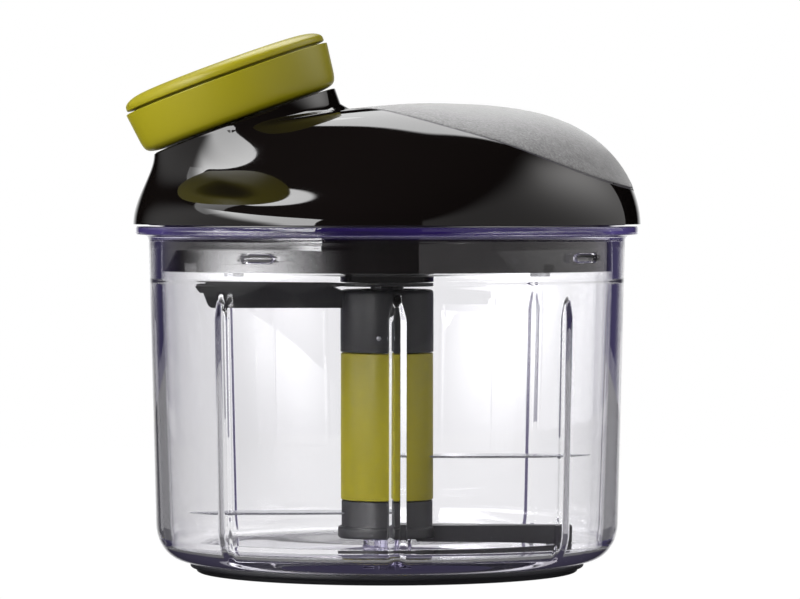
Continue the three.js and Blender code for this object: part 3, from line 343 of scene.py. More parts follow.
class Nodes:
    """The nodes of one material, lamp or world."""

    def __init__(self, owner):
        owner.use_nodes = True
        self.owner = owner
        self.tree = owner.node_tree
        self.tree.nodes.clear()

    def node(self, kind, settings=None, sockets=None, output=0):
        made = self.tree.nodes.new(kind)
        for setting, value in (settings or {}).items():
            setattr(made, setting, value)
        for socket, value in (sockets or {}).items():
            if isinstance(value, Value):
                self.tree.links.new(value.socket, made.inputs[socket])
            else:
                made.inputs[socket].default_value = value
        if not made.outputs:
            return None
        return Value(self, made.outputs[output])

    def math(self, operation, *values):
        return self.node("ShaderNodeMath", {"operation": operation}, dict(enumerate(values)))

    def axis(self, vector, letter):
        return self.node("ShaderNodeSeparateXYZ", {}, {"Vector": vector}, letter)

    def ray(self, kind):
        return self.node("ShaderNodeLightPath", output=kind)

    def place(self):
        return self.node("ShaderNodeTexCoord", output="Object")

    def noise(self, scale, detail=3, where=None, rough=0.5):
        sockets = {"Vector": where or self.place(), "Scale": scale, "Detail": detail, "Roughness": rough}
        return self.node("ShaderNodeTexNoise", {}, sockets, "Fac")

    def stretched(self, scale, turn=(0, 0, 0)):
        return self.node("ShaderNodeMapping", {}, {"Vector": self.place(), "Scale": scale, "Rotation": turn})

    def between(self, value, low, high, start=0.0, end=1.0, ease="LINEAR"):
        sockets = {"Value": value, "From Min": start, "From Max": end, "To Min": low, "To Max": high}
        return self.node("ShaderNodeMapRange", {"interpolation_type": ease}, sockets)

    def soft_step(self, value, start, end):
        return self.between(value, 0.0, 1.0, start, end, "SMOOTHSTEP")

    def blend(self, share, first, second):
        sockets = {0: share, 6: first, 7: second}
        return self.node("ShaderNodeMix", {"data_type": "RGBA"}, sockets, 2)

    def bump(self, height, strength, distance):
        sockets = {"Height": height, "Strength": strength, "Distance": distance}
        return self.node("ShaderNodeBump", {}, sockets)

    def surface(self, **sockets):
        named = {name.replace("_", " "): value for name, value in sockets.items()}
        return self.node("ShaderNodeBsdfPrincipled", {}, named)

    def finish(self, surface, volume=None):
        """Connects the output of a material and hands back the material."""
        sockets = {"Surface": surface}
        if volume:
            sockets["Volume"] = volume
        self.node("ShaderNodeOutputMaterial", {}, sockets)
        return self.owner

    def patterned(self, pattern, shades, roughness, relief, **more):
        """Finishes a surface whose colour, roughness and relief all follow one pattern."""
        return self.finish(self.surface(
            Base_Color=self.blend(pattern, *shades), Roughness=self.between(pattern, *roughness),
            Normal=self.bump(pattern, *relief), **more))


def colour(red, green, blue):
    return (red, green, blue, 1)


def new_material(name):
    return Nodes(bpy.data.materials.new(name))


def clear_plastic():
    """Clear moulded plastic with a violet absorbing tint, a painted violet glow in streaks along the rim and
    a painted dim violet glow where a path has bounced many times.
    """
    nodes = new_material("clear_plastic")
    haze = nodes.between(nodes.noise(60, 2), 0.0, 0.03, 0.45, 0.8)
    ripple = nodes.bump(nodes.noise(28, 2), 0.05, 0.0004)
    height = nodes.axis(nodes.place(), "Z")
    # Painted glow: the rim's edge and paths deeper than five bounces give off violet light of their own
    rim_glow_streaks = nodes.between(nodes.noise(7, 3, nodes.stretched((3, 3, 90))), 0.3, 1.5, 0.3, 0.75)
    painted_rim_glow_share = nodes.between(height, 0, 1, 0.1017, 0.1023) * rim_glow_streaks
    painted_rim_glow_colour = nodes.blend(painted_rim_glow_share, colour(0, 0, 0), colour(0.008, 0.004, 0.036))
    depth = nodes.ray("Ray Depth")
    deep_path = nodes.math("GREATER_THAN", depth, 5.5)
    painted_glow = nodes.blend(deep_path, painted_rim_glow_colour, colour(0.060, 0.056, 0.080))
    glass = nodes.surface(
        Base_Color=colour(1, 1, 1), Roughness=haze, IOR=1.53, Transmission_Weight=1.0, Normal=ripple,
        Emission_Color=painted_glow, Emission_Strength=1.0)
    open_to_lamps = nodes.node("ShaderNodeBsdfTransparent", {}, {"Color": colour(0.93, 0.92, 0.95)})
    shadow_ray = nodes.ray("Is Shadow Ray")
    surface = nodes.node("ShaderNodeMixShader", {}, {0: shadow_ray, 1: glass, 2: open_to_lamps})
    tint = nodes.node("ShaderNodeVolumeAbsorption", {}, {"Color": colour(0.36, 0.24, 0.72), "Density": 7.0})
    return nodes.finish(surface, tint)


def gloss_black():
    """Polished black plastic with a few faint hairlines."""
    nodes = new_material("gloss_black")
    hairline = nodes.noise(9, 6, nodes.stretched((3, 60, 12), (0.3, 0.2, 0.5)), 0.7)
    smear = nodes.noise(16, 2)
    roughness = nodes.between(hairline, 0.03, 0.075, 0.5, 0.85) + nodes.between(smear, 0.0, 0.02)
    shade = nodes.blend(smear, colour(0.0030, 0.0023, 0.0022), colour(0.0042, 0.0032, 0.0030))
    peel = nodes.bump(nodes.noise(45, 1), 0.04, 0.0003)
    return nodes.finish(nodes.surface(Base_Color=shade, Roughness=roughness, IOR=1.5, Normal=peel))


def grip_rubber():
    """Finely grained soft grip."""
    nodes = new_material("grip_rubber")
    grain = nodes.noise(1500, 3)
    coarse = nodes.noise(340, 2)
    grains = grain * 0.7 + coarse * 0.3
    shade = nodes.blend(
        nodes.between(grains, 0, 1, 0.35, 0.68), colour(0.065, 0.064, 0.066), colour(0.20, 0.198, 0.20))
    roughness = nodes.between(grains, 0.45, 0.65, 0.3, 0.7)
    relief = nodes.bump(grains, 0.55, 0.00035)
    return nodes.finish(nodes.surface(
        Base_Color=shade, Roughness=roughness, IOR=1.5, Normal=relief,
        Sheen_Weight=0.45, Sheen_Roughness=0.35))


def foot_rubber():
    """Black non-slip rubber with a dull bloom."""
    nodes = new_material("foot_rubber")
    bloom = nodes.noise(30, 4)
    grain = nodes.noise(900, 2)
    shade = nodes.blend(bloom, colour(0.004, 0.004, 0.005), colour(0.011, 0.011, 0.014))
    roughness = nodes.between(bloom, 0.38, 0.55, 0.3, 0.7)
    return nodes.finish(nodes.surface(
        Base_Color=shade, Roughness=roughness, Normal=nodes.bump(grain, 0.2, 0.0002)))


def seal_rubber():
    """Soft dark silicone."""
    nodes = new_material("seal_rubber")
    shades = colour(0.010, 0.008, 0.014), colour(0.018, 0.015, 0.024)
    return nodes.patterned(nodes.noise(40, 3), shades, (0.35, 0.5), (0.1, 0.0002))


def hub_plastic():
    """Dark grey plastic with a fine spark-eroded grain."""
    nodes = new_material("hub_plastic")
    grain = nodes.noise(1300, 2)
    cloud = nodes.noise(50, 3)
    shade = nodes.blend(nodes.between(grain * 0.6 + cloud * 0.4, 0, 1, 0.3, 0.7),
                        colour(0.010, 0.010, 0.0105), colour(0.018, 0.0178, 0.0184))
    roughness = nodes.between(grain, 0.34, 0.48, 0.3, 0.7)
    return nodes.finish(nodes.surface(
        Base_Color=shade, Roughness=roughness, Normal=nodes.bump(grain, 0.25, 0.00012)))


def olive_plastic():
    """Satin olive green plastic."""
    nodes = new_material("olive_plastic")
    cloud = nodes.noise(22, 4)
    grain = nodes.noise(1100, 2)
    shade = nodes.blend(cloud, colour(0.232, 0.203, 0.003), colour(0.262, 0.229, 0.005))
    roughness = nodes.between(grain * 0.5 + cloud * 0.5, 0.3, 0.4, 0.3, 0.7)
    return nodes.finish(nodes.surface(
        Base_Color=shade, Roughness=roughness, IOR=1.48, Specular_IOR_Level=0.32,
        Normal=nodes.bump(grain, 0.12, 0.0001)))


def blade_steel():
    """Ground stainless steel with the grinding lines across the blade."""
    nodes = new_material("blade_steel")
    lines = nodes.noise(90, 5, nodes.stretched((60, 1.5, 4)), 0.7)
    shades = colour(0.42, 0.43, 0.45), colour(0.66, 0.67, 0.69)
    return nodes.patterned(lines, shades, (0.16, 0.34), (0.12, 0.0001), Metallic=1.0)


def turned_steel():
    """Plain steel of the pins, screws, shaft and spring, with turning marks."""
    nodes = new_material("turned_steel")
    marks = nodes.noise(120, 4, nodes.stretched((1, 1, 30)), 0.6)
    shades = colour(0.38, 0.38, 0.40), colour(0.60, 0.60, 0.62)
    return nodes.patterned(marks, shades, (0.2, 0.38), (0.1, 0.0001), Metallic=1.0)


def white_acetal():
    """Slightly waxy natural acetal."""
    nodes = new_material("white_acetal")
    shades = colour(0.62, 0.61, 0.56), colour(0.76, 0.75, 0.70)
    return nodes.patterned(nodes.noise(35, 4), shades, (0.32, 0.48), (0.08, 0.0002))


def braided_cord():
    """Pale braided cord."""
    nodes = new_material("braided_cord")
    where = nodes.place()
    strands = nodes.node(
        "ShaderNodeTexVoronoi", {"feature": "F1"}, {"Vector": where, "Scale": 1500.0}, "Distance")
    dirt = nodes.noise(60, 3, where)
    fibres = nodes.between(strands, 1, 0, 0.0, 0.7)
    shade = nodes.blend(fibres * 0.7 + dirt * 0.3, colour(0.30, 0.29, 0.26), colour(0.66, 0.65, 0.60))
    return nodes.finish(nodes.surface(
        Base_Color=shade, Roughness=nodes.between(dirt, 0.75, 0.9), Normal=nodes.bump(fibres, 0.6, 0.0003)))


# Bowl and base

def bowl_columns():
    """Angles of the bowl's mesh columns: close together at the ribs and lugs."""
    rib_width = rib.half_width / bowl.outer_bottom
    rib_shares = (0, 0.16, 0.33, 0.42, 0.55, 0.7, 0.85, 0.95, 1.05, 1.2)
    lug_offsets = (0, 2.0, 3.2, 3.7, 4.1, 4.35, 4.5, 4.65)
    marks = []
    for angle in rib_middles():
        marks += [angle + side * share * rib_width for share in rib_shares for side in (-1, 1)]
    for angle in lug_middles():
        marks += [angle + side * offset * DEGREE for offset in lug_offsets for side in (-1, 1)]
    marks = sorted({round(angle % math.tau, 6) for angle in marks})
    return columns_between(marks, bowl.column_step)


def rib_depth(angle, radius, height):
    """Depth of a rib's groove in the bowl's outside at this place."""
    if height >= rib.top or height <= rib.bottom:
        return 0.0
    offset = abs(nearest_offset(angle, rib_middles())) * radius
    scoop = clamp((rib.top - height) / rib.scoop)
    along = math.sqrt(1 - (1 - scoop) ** 2) * smooth(rib.bottom, rib.bottom + rib.fade, height)
    width = mix(rib.narrow_top, 1, smooth(rib.top, rib.full_width, height))
    half = rib.half_width * width
    floor_half = rib.floor_half * width
    return rib.depth * along * clamp((half - offset) / (half - floor_half))


def lug_depth(angle, radius, height):
    """How far a lug stands in from the mouth's wall at this place."""
    if abs(radius - bowl.mouth_radius) > 0.01:
        return 0.0
    sideways = abs(nearest_offset(angle, lug_middles())) * bowl.mouth_radius
    half = lug.half_angle * DEGREE * bowl.mouth_radius
    straight = half - lug.half_height
    past = math.hypot(max(0, sideways - straight), height - lug.middle)
    edge = lug.half_height - lug.edge_inside, lug.half_height + lug.edge_outside
    return lug.reach * (1 - smooth(*edge, past))


def bowl_outside():
    """Radius and height of the bowl's outside, from the base groove up to the rim's edge."""
    flange_bottom = bowl.rim_top - bowl.rim_thickness
    wall_top = flange_bottom - bowl.flange_fillet
    rows = [(bowl.groove_outer, bowl.bottom), (bowl.bottom_radius - 1.5, bowl.bottom)]
    rows += arc(
        bowl.bottom_radius, bowl.corner_start, bowl.corner_width, -bowl.corner_height,
        spaced(90 * DEGREE, 0, 90 * DEGREE / (bowl.corner_steps * 2)))
    scoop_bottom, scoop_top = rib.full_width - 2, rib.top + 0.2
    heights = spaced(bowl.corner_start, scoop_bottom, bowl.wall_rows)[1:]
    heights += spaced(scoop_bottom, scoop_top, bowl.scoop_rows)[1:]
    heights += spaced(scoop_top, wall_top, bowl.upper_rows)[1:]
    for height in heights:
        share = (height - bowl.corner_start) / (wall_top - bowl.corner_start)
        rows.append((mix(bowl.outer_bottom, bowl.outer_top, share), height))
    fillet = bowl.flange_fillet
    fillet_turns = spaced(180 * DEGREE, 90 * DEGREE, 18 * DEGREE)[1:]
    rows += arc(bowl.outer_top + fillet, wall_top, fillet, fillet, fillet_turns)
    rim = [
        (bowl.outer_top + fillet + 0.3, flange_bottom, 0),
        (bowl.rim_radius, flange_bottom, bowl.rim_round),
        (bowl.rim_radius, bowl.rim_top, bowl.rim_round),
        (bowl.mouth_radius, bowl.rim_top, bowl.rim_round),
        (bowl.mouth_radius, lug.middle + 3, 0),
    ]
    return rows + softened(rim)


def bowl_inside():
    """Radius and height of the bowl's inside, from the mouth down to the pin's hole."""
    heights = [lug.middle + offset for offset in (
        2, 1.6, 1.45, 1.3, 1.15, 1.0, 0.7, 0, -0.7, -1.0, -1.15, -1.3, -1.45, -1.6, -2)]
    rows = [(bowl.mouth_radius, height) for height in heights]
    rows += softened([
        (bowl.mouth_radius, lug.middle - 3.5, 0),
        (bowl.mouth_radius, bowl.ledge, 0.5),
        (bowl.inner_top, bowl.ledge - bowl.ledge_taper, 0.5),
        (bowl.inner_top - 0.1, bowl.ledge - bowl.ledge_taper - 3, 0),
    ], steps=4)
    for height in spaced(bowl.ledge - 8, bowl.corner_start, bowl.inner_rows):
        share = (height - bowl.corner_start) / (bowl.ledge - bowl.ledge_taper - bowl.corner_start)
        rows.append((mix(bowl.inner_bottom, bowl.inner_top, share), height))
    fillet = bowl.floor_fillet
    fillet_top = bowl.floor_top + fillet
    for height in spaced(bowl.corner_start, fillet_top, bowl.corner_rows)[1:]:
        drop = (bowl.corner_start - height) / bowl.corner_height
        wall = bowl.bottom_radius + bowl.corner_width * math.sqrt(1 - drop ** 2)
        rows.append((wall - bowl.wall_bottom, height))
    floor_radius = rows[-1][0] - fillet
    rows += arc(floor_radius, fillet_top, fillet, -fillet, spaced(0, 90 * DEGREE, 9 * DEGREE)[1:])
    rows += softened([
        (floor_radius - 4, bowl.floor_top, 0),
        (bowl.boss_radius, bowl.floor_top, 0.4),
        (bowl.boss_radius, bowl.boss_top, 0.4),
        (bowl.pin_hole, bowl.boss_top, 0.3),
        (bowl.pin_hole, bowl.pin_hole_bottom, 0),
    ])
    return rows


def make_bowl(material):
    columns = bowl_columns()
    rings = [circle(radius, height, columns) for radius, height in (
        (bowl.groove_inner, bowl.bottom), (bowl.groove_inner, bowl.groove_top),
        (bowl.groove_outer, bowl.groove_top))]
    rings += carved(bowl_outside(), columns, rib_depth)
    rings += carved(bowl_inside(), columns, lug_depth)
    Shape().loft(rings).piece("clear_bowl", material, "bowl", "clear_bowl", ["bowl"], sharp=50)


def make_base(material):
    foot = softened([
        (base.ground - base.foot_width, 0, 0), (base.ground, 0, 0.9),
        (base.ground + 0.2, base.lip_bottom, 0.2), (base.lip, base.lip_bottom + 0.1, 0.6),
        (base.lip, base.lip_top, 0.4),
        (base.snap_outer, base.lip_top, 0.2), (base.snap_outer, base.snap_top, 0.4),
        (base.snap_inner, base.snap_top, 0.4), (base.snap_inner, base.lip_top, 0.2),
        (base.middle_flat, base.lip_top, 0),
    ])
    Shape().turned(foot, 160).piece("foot_ring", material, "bowl", "base_rubber", ["non_slip_base"])


# Spindle

def make_sleeve(material):
    sleeve = softened([
        (spindle.core, spindle.sleeve_bottom, 0), (spindle.sleeve, spindle.sleeve_bottom, 0.35),
        (spindle.sleeve, spindle.sleeve_top, 0.35), (spindle.core, spindle.sleeve_top, 0),
    ])
    Shape().turned(sleeve, 128, hollow=True).piece(
        "olive_sleeve", material, "spindle", "olive_green", ["blade_sleeve"])


def make_bottom_hub(material):
    hub = Shape().turned(softened([
        (spindle.core, spindle.flange_bottom, 0), (spindle.flange, spindle.flange_bottom, 0.7),
        (spindle.flange, spindle.flange_top, 1.0), (spindle.lower_hub, spindle.flange_top, 0.3),
        (spindle.lower_hub, spindle.lower_hub_top, 0.35), (spindle.core, spindle.lower_hub_top, 0),
    ]), 128, hollow=True)
    half = sweeper.tip_half
    tip = sweeper.reach - half
    outline = [(sweeper.root, -sweeper.root_half), (tip, -half)]
    outline += arc(tip, 0, half, half, spaced(-75 * DEGREE, 75 * DEGREE, 15 * DEGREE))
    outline += [(tip, half), (sweeper.root, sweeper.root_half)]
    hub.slab(outline, sweeper.bottom, sweeper.top, 0.5)
    hub.piece("sweeper_hub", material, "spindle", "hub_grey", ["bottom_hub"])


def make_top_hub(material):
    hub = Shape().turned(softened([
        (spindle.core, spindle.top_hub_bottom, 0), (spindle.top_hub, spindle.top_hub_bottom, 0.35),
        (spindle.top_hub, spindle.top_hub_top, 1.1), (spindle.socket, spindle.top_hub_top, 0.3),
        (spindle.socket, spindle.socket_floor, 0), (spindle.core, spindle.socket_floor, 0),
    ]), 128, hollow=True)
    shoulder = spindle.top_hub_top - 0.7
    flange_bottom = scraper.flange_top - scraper.thickness
    upright = Matrix.Rotation(math.radians(90), 4, "X")
    flange = softened([
        (-scraper.ramp_end, shoulder - scraper.thickness, 0), (-scraper.ramp_end, shoulder, 0),
        (-scraper.ramp_start, scraper.flange_top, 1.5), (-scraper.reach, scraper.flange_top, 0.5),
        (scraper.tip_slant - scraper.reach, flange_bottom, 0.4), (-scraper.ramp_start, flange_bottom, 1.5),
    ], closed=True)
    web = softened([
        (-scraper.ramp_end, scraper.web_bottom, 0), (-scraper.ramp_end, shoulder - 1, 0),
        (-scraper.ramp_start, flange_bottom + 1, 0), (-scraper.web_reach, flange_bottom + 1, 0),
        (-scraper.web_foot, scraper.web_bottom, 1.6),
    ], closed=True)
    hub.slab(flange, -scraper.back, -scraper.front, 0.25, upright)
    hub.slab(web, -scraper.web_back, -scraper.web_front, 0.25, upright)
    hub.piece("scraper_hub", material, "spindle", "hub_grey", ["top_hub"])


def blade_outline(reach, inset=0.0):
    """A blade seen from above, pointing along +X, its edges drawn in by inset."""
    half = blade.root_half - inset
    tip = Vector((reach - inset * blade.tip_grind, blade.sweep))
    edge_start = Vector((spindle.sleeve, -half))
    spine_start = Vector((spindle.sleeve, half))
    edge_bend = Vector((mix(spindle.sleeve, reach, blade.edge_bend), inset - blade.belly))
    spine_bend = Vector((mix(spindle.sleeve, reach, blade.spine_bend), blade.belly - inset))
    edge = curve(edge_start, edge_bend, tip, blade.steps)
    spine = curve(tip, spine_bend, spine_start, blade.steps)
    return [(blade.root, -half)] + [tuple(point) for point in edge + spine[1:]] + [(blade.root, half)]


def make_blade(name, node, material, reach, height, turn):
    """A flat blade whose whole edge is ground thin from below."""
    half = blade.thickness / 2
    outer = blade_outline(reach)
    ground = blade_outline(reach, blade.grind)
    rings = [[Vector((x, y, height + above)) for x, y in outline] for outline, above in (
        (ground, -half), (outer, half - blade.edge), (outer, half))]
    shape = Shape().loft(rings).moved(Matrix.Rotation(turn, 4, "Z"))
    shape.piece(name, material, "spindle", "steel", [node], sharp=20)


def make_cross_pin(material):
    half = cross_pin.half_length
    profile = softened([
        (0.05, -half, 0), (cross_pin.radius, -half, 0.2), (cross_pin.radius, half, 0.2), (0.05, half, 0)])
    shape = Shape().turned(profile, 24).moved(
        Matrix.Translation((0, 0, cross_pin.height))
        @ Matrix.Rotation(cross_pin.angle * DEGREE, 4, "Z")
        @ Matrix.Rotation(math.radians(90), 4, "Y"))
    shape.piece("cross_pin_end", material, "spindle", "steel", ["cross_pin"])


# Lid

def dome_height(place, inset):
    share = min(place.xy.length / (lid.radius - inset), 1)
    towards_neck = max(0, lid.sag_from - place.x)
    sag = lid.sag * (1 - math.exp(-lid.sag_curve * towards_neck ** 2 / lid.sag))
    return lid.bottom + (lid.crown - inset - sag) * (1 - share ** lid.crown_power) ** lid.crown_round


def neck_point(angle, reach, height=0.0):
    across = reach * math.cos(angle)
    flat = Vector((
        lid.neck_x + across * math.cos(lid.neck_tilt),
        reach * math.sin(angle),
        lid.neck_z + across * math.sin(lid.neck_tilt),
    ))
    return flat + NECK_UP * height


def lid_point(angle, share, inset=0.0):
    """A point of the lid's skin: share 0 is the neck's edge and share 1 the rim."""
    top = neck_point(angle, lid.neck_radius - inset, -inset)
    foot = polar(lid.radius - inset, angle, lid.bottom)
    run = (foot - top).xy.length
    drop = top.z - foot.z

    outward = math.sin(share * math.pi / 2)
    dome = top.lerp(foot, outward)
    lip_height = top.z - dome_height(top, inset)
    lip_share = max(0.0, 1 - outward * run / lid.neck_lip)
    dome.z = dome_height(dome, inset) + lip_height * lip_share ** 3

    steep = lid.steep_share * drop * run / (run + lid.steep_run)
    bends = (top, top - Vector((0, 0, steep)), foot + Vector((0, 0, lid.rim_share * drop)), foot)
    weights = ((1 - share) ** 3, 3 * (1 - share) ** 2 * share, 3 * (1 - share) * share ** 2, share ** 3)
    swept = sum((bend * weight for bend, weight in zip(bends, weights)), Vector())

    turn = abs(angle_between(angle, 0))
    return dome.lerp(swept, smooth(lid.dome_until, lid.swept_from, turn))


def lid_shares():
    """Shares of the skin's rows, closer together near the neck."""
    return [(index / lid.rows) ** lid.row_power for index in range(lid.rows + 1)]


def skin_rings(shares, inset=0.0):
    return [[lid_point(angle, share, inset) for angle in around(lid.columns)] for share in shares]


def skin_finder():
    """Finds points of the lid's outside by looking down on it."""
    skin = Shape().loft(skin_rings(lid_shares()), end_cap=False)
    skin.mesh.normal_update()
    tree = BVHTree.FromBMesh(skin.mesh)
    skin.mesh.free()
    return tree


def make_lid_shell(material, skin):
    angles = around(lid.columns)
    rings = [[neck_point(angle, reach, height) for angle in angles] for reach, height in (
        (lid.cord_hole, 0), (lid.neck_flat, 0), (lid.neck_radius - 0.9, 0),
        (lid.neck_radius - 0.35, -0.04), (lid.neck_radius - 0.08, -0.2))]
    rings += skin_rings(lid_shares()[2:])
    rings.append(circle(lid.radius - lid.wall, lid.bottom, angles))
    rings += skin_rings(spaced(0.98, 0, 0.07), lid.wall)
    rings.append([neck_point(angle, lid.cord_hole, -lid.wall) for angle in angles])
    shell = Shape().band(rings)
    for turn in around(post.count, post.first * DEGREE):
        place = polar(post.circle, turn, 0)
        outermost = polar(post.circle + post.radius, turn, 200)
        ceiling = skin.ray_cast(outermost, Vector((0, 0, -1)))[0].z - lid.wall / 2
        shell.loft([
            [place + polar(post.radius, angle, height) for angle in around(24)]
            for height in (post.bottom, ceiling)
        ])
    shell.piece("lid_dome", material, "lid", "gloss_black", ["lid_shell"], sharp=40)


def pad_ring(skin, share, raise_by, angles):
    """A ring round the grip pad, raised from the lid's skin: share 0 is its middle and 1 its edge."""
    ring = []
    for angle in angles:
        x = pad.middle_x + (pad.half_length * share) * math.cos(angle)
        y = (pad.half_width * share) * math.sin(angle)
        hit, normal = skin.ray_cast(Vector((x, y, 200)), Vector((0, 0, -1)))[:2]
        if normal.z < 0:
            normal = -normal
        ring.append(hit + normal * raise_by)
    return ring


def make_grip_pad(material, groove_material, skin):
    angles = around(pad.columns)
    edge = pad.edge / pad.half_length
    levels = [(share, pad.proud) for share in spaced(0.002, 1 - edge, 0.03)]
    levels += [(1 - edge * 0.35, pad.proud * 0.85), (1 - edge * 0.08, pad.proud * 0.45)]
    levels += [(1, 0), (1, -pad.depth)]
    rings = [pad_ring(skin, share, raise_by, angles) for share, raise_by in levels]
    Shape().loft(rings).piece("thumb_pad", material, "lid", "grip_black", ["grip_pad"], sharp=60)

    width = pad.groove / pad.half_length
    inner, outer, sheen = 1 - width * 0.1, 1 + width, 0.015
    rings = [pad_ring(skin, share, raise_by, angles) for share, raise_by in (
        (inner, sheen), (outer, sheen), (outer, -pad.groove_depth), (inner, -pad.groove_depth))]
    Shape().band(rings).piece("pad_groove", groove_material, "lid", "seal_rubber", sharp=60)


def slot_depth(angle, radius, height):
    """Depth of a J slot in the collar at this place."""
    if radius <= collar.radius - 1 or not collar.bottom <= height < collar.flange_bottom - 0.1:
        return 0.0
    entry_lean = slot.lean * clamp((lug.middle - height) / slot.lean_drop)
    for middle in lug_middles():
        turn = angle_between(angle, middle) / DEGREE
        run_start = -slot.turn - slot.entry_half
        in_run = run_start <= turn <= slot.lug_end and abs(height - lug.middle) <= slot.half_height
        entry = abs(turn + slot.turn + entry_lean) <= slot.entry_half
        if in_run or (entry and height <= lug.middle):
            return slot.depth
    return 0.0


def make_lid_base(material):
    marks = []
    for middle in lug_middles():
        for edge in (slot.lug_end, slot.entry_half - slot.turn, -slot.entry_half - slot.turn):
            marks += [middle + (edge + side) * DEGREE for side in (-slot.side_half, slot.side_half)]
    marks = sorted(angle % math.tau for angle in marks)
    columns = columns_between(marks, 2 * DEGREE)
    profile = softened([
        (collar.bush_hole, collar.boss_bottom, 0),
        (collar.boss_radius - collar.boss_chamfer, collar.boss_bottom, 0.3),
        (collar.boss_radius, collar.boss_bottom + collar.boss_chamfer, 0.4),
        (collar.boss_radius, collar.bottom, 0.3),
        (collar.radius, collar.bottom, 0.9),
    ])[:-1]
    slot_top = lug.middle + slot.half_height
    slot_bottom = lug.middle - slot.half_height
    edge = slot.edge_half
    heights = [
        collar.bottom + 1.2, slot_bottom - edge, slot_bottom + edge, lug.middle,
        slot_top - edge, slot_top + edge, slot_top + 4, collar.flange_bottom,
    ]
    profile += [(collar.radius, height) for height in heights]
    profile += softened([
        (collar.flange_radius - 1, collar.flange_bottom, 0),
        (collar.flange_radius, collar.flange_bottom, 0.3),
        (collar.flange_radius, collar.flange_top, 0.3),
        (collar.radius - collar.wall, collar.flange_top, 0.3),
        (collar.radius - collar.wall, collar.floor_top, 0.5),
        (collar.bush_hole, collar.floor_top, 0),
    ])
    rings = carved(profile, columns, slot_depth)
    Shape().band(rings).piece("lid_collar", material, "lid", "gloss_black", ["lid_base"], sharp=32)


def make_seal(material):
    ring = softened([
        (seal.inner, seal.bottom, 0.2), (seal.outer, seal.bottom, 0.5), (seal.outer, seal.top, 0.3),
        (seal.inner, seal.top, 0.2)], closed=True)
    Shape().turned(ring, 160, hollow=True).piece("soft_seal", material, "lid", "seal_rubber", ["lid_seal"])


# Cord and spool

def make_winding(material):
    route = []
    pitch = cord.radius * cord.pitch
    turns = int((drum.top - drum.bottom - cord.radius * 2) / pitch)
    for layer in range(drum.layers):
        radius = drum.radius + cord.radius + layer * cord.radius * cord.layer_pitch
        for step in range(turns * cord.steps_per_turn + 1):
            climbed = step / cord.steps_per_turn * pitch
            height = climbed if layer % 2 == 0 else turns * pitch - climbed
            angle = math.tau * step / cord.steps_per_turn
            route.append(polar(radius, angle, drum.bottom + cord.radius + height))
    Shape().tube(route, cord.radius, 8).piece(
        "cord_turns", material, "spool", "cord_grey", ["cord_winding"], sharp=180)


def on_handle_axis(height):
    return Vector((handle.axis_x, 0, handle.axis_z)) + NECK_UP * height


def make_lead(material):
    corner = on_handle_axis(-cord.bend_below)
    reach = corner.xy.length
    turn = math.pi + math.acos(cord.lead_radius / reach)
    start = polar(cord.lead_radius, turn, cord.run_height)
    towards = (start - corner).normalized()
    bend_start = corner + towards * cord.bend_run
    bend_end = corner + NECK_UP * cord.bend_run
    end = on_handle_axis(handle.pocket_floor + SEAT_GAP)
    route = [start.lerp(bend_start, index / cord.level_steps) for index in range(cord.level_steps)]
    route += curve(bend_start, corner, bend_end, cord.bend_steps)
    route += [bend_end.lerp(end, (index + 1) / cord.rise_steps) for index in range(cord.rise_steps)]
    lead = Shape().tube(route, cord.radius, 12).piece(
        "cord_run", material, None, "cord_grey", ["cord_lead"], sharp=180)
    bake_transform(lead)


def make_knot(material):
    """The knotted end of the cord, a trefoil pulled tight."""
    middle = on_handle_axis(handle.pocket_floor + cord.knot + 2 * SEAT_GAP)
    size = (cord.knot - cord.radius) / 3
    route = []
    for step in range(cord.knot_steps + 1):
        turn = math.tau * step / cord.knot_steps
        point = Vector((
            math.sin(turn) + 2 * math.sin(2 * turn),
            math.cos(turn) - 2 * math.cos(2 * turn),
            -1.6 * math.sin(3 * turn),
        )) * size
        route.append(middle + HANDLE_FRAME.to_3x3() @ point)
    Shape().tube(route, cord.radius * 0.95, 10).piece(
        "cord_end_knot", material, "handle", "cord_grey", ["cord_knot"], sharp=180)


# Handle

def make_handle_body(material):
    low = handle.park
    profile = softened([
        (handle.hole, low, 0), (handle.foot, low, 1.5), (handle.waist - 1, low + 0.7, 1.5),
        (handle.waist, low + handle.waist_height, 2.2), (handle.radius, handle.body_top, 0.3),
        (handle.radius - handle.wall, handle.body_top, 0.3),
        (handle.waist - handle.wall, low + handle.waist_height, 0.5),
        (handle.waist - handle.wall, low + handle.wall, 0.5),
        (handle.post, low + handle.wall, 0.4), (handle.post, handle.pocket_top, 0.3),
        (handle.pocket, handle.pocket_top, 0.2), (handle.pocket, handle.pocket_floor, 0.4),
        (handle.hole, handle.pocket_floor, 0.2),
    ], steps=4)
    shape = Shape().turned(profile, 192, hollow=True).moved(HANDLE_FRAME)
    shape.piece("pull_handle", material, "handle", "olive_green", ["handle_body"])


def make_handle_cap(material):
    bottom = handle.split_top
    crown_start = bottom + handle.cap_straight
    ceiling = handle.top - handle.wall
    spigot_outer = handle.radius - handle.wall - SEAT_GAP
    spigot_inner = spigot_outer - handle.spigot_wall
    profile = softened([
        (0.5, ceiling, 0), (spigot_inner, ceiling, 0.5), (spigot_inner, bottom - handle.spigot_depth, 0.3),
        (spigot_outer, bottom - handle.spigot_depth, 0.3), (spigot_outer, bottom, 0.2),
        (handle.cap, bottom, 0.4), (handle.cap, crown_start, 0),
    ])
    profile += arc(
        handle.crown, crown_start, handle.cap - handle.crown, handle.top - crown_start,
        spaced(0, 90 * DEGREE, 9 * DEGREE)[1:])
    profile += [(handle.crown - 2, handle.top), (12, handle.top), (0.5, handle.top)]
    shape = Shape().turned(profile, 192).moved(HANDLE_FRAME)
    shape.piece("handle_top", material, "handle", "olive_green", ["handle_cap"])


# Carried-over solids

def dress(material, *names):
    """Gives solids that no piece replaces their finish."""
    for name in names:
        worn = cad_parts[name].data.materials
        worn.clear()
        worn.append(material)


# Stage, light and camera

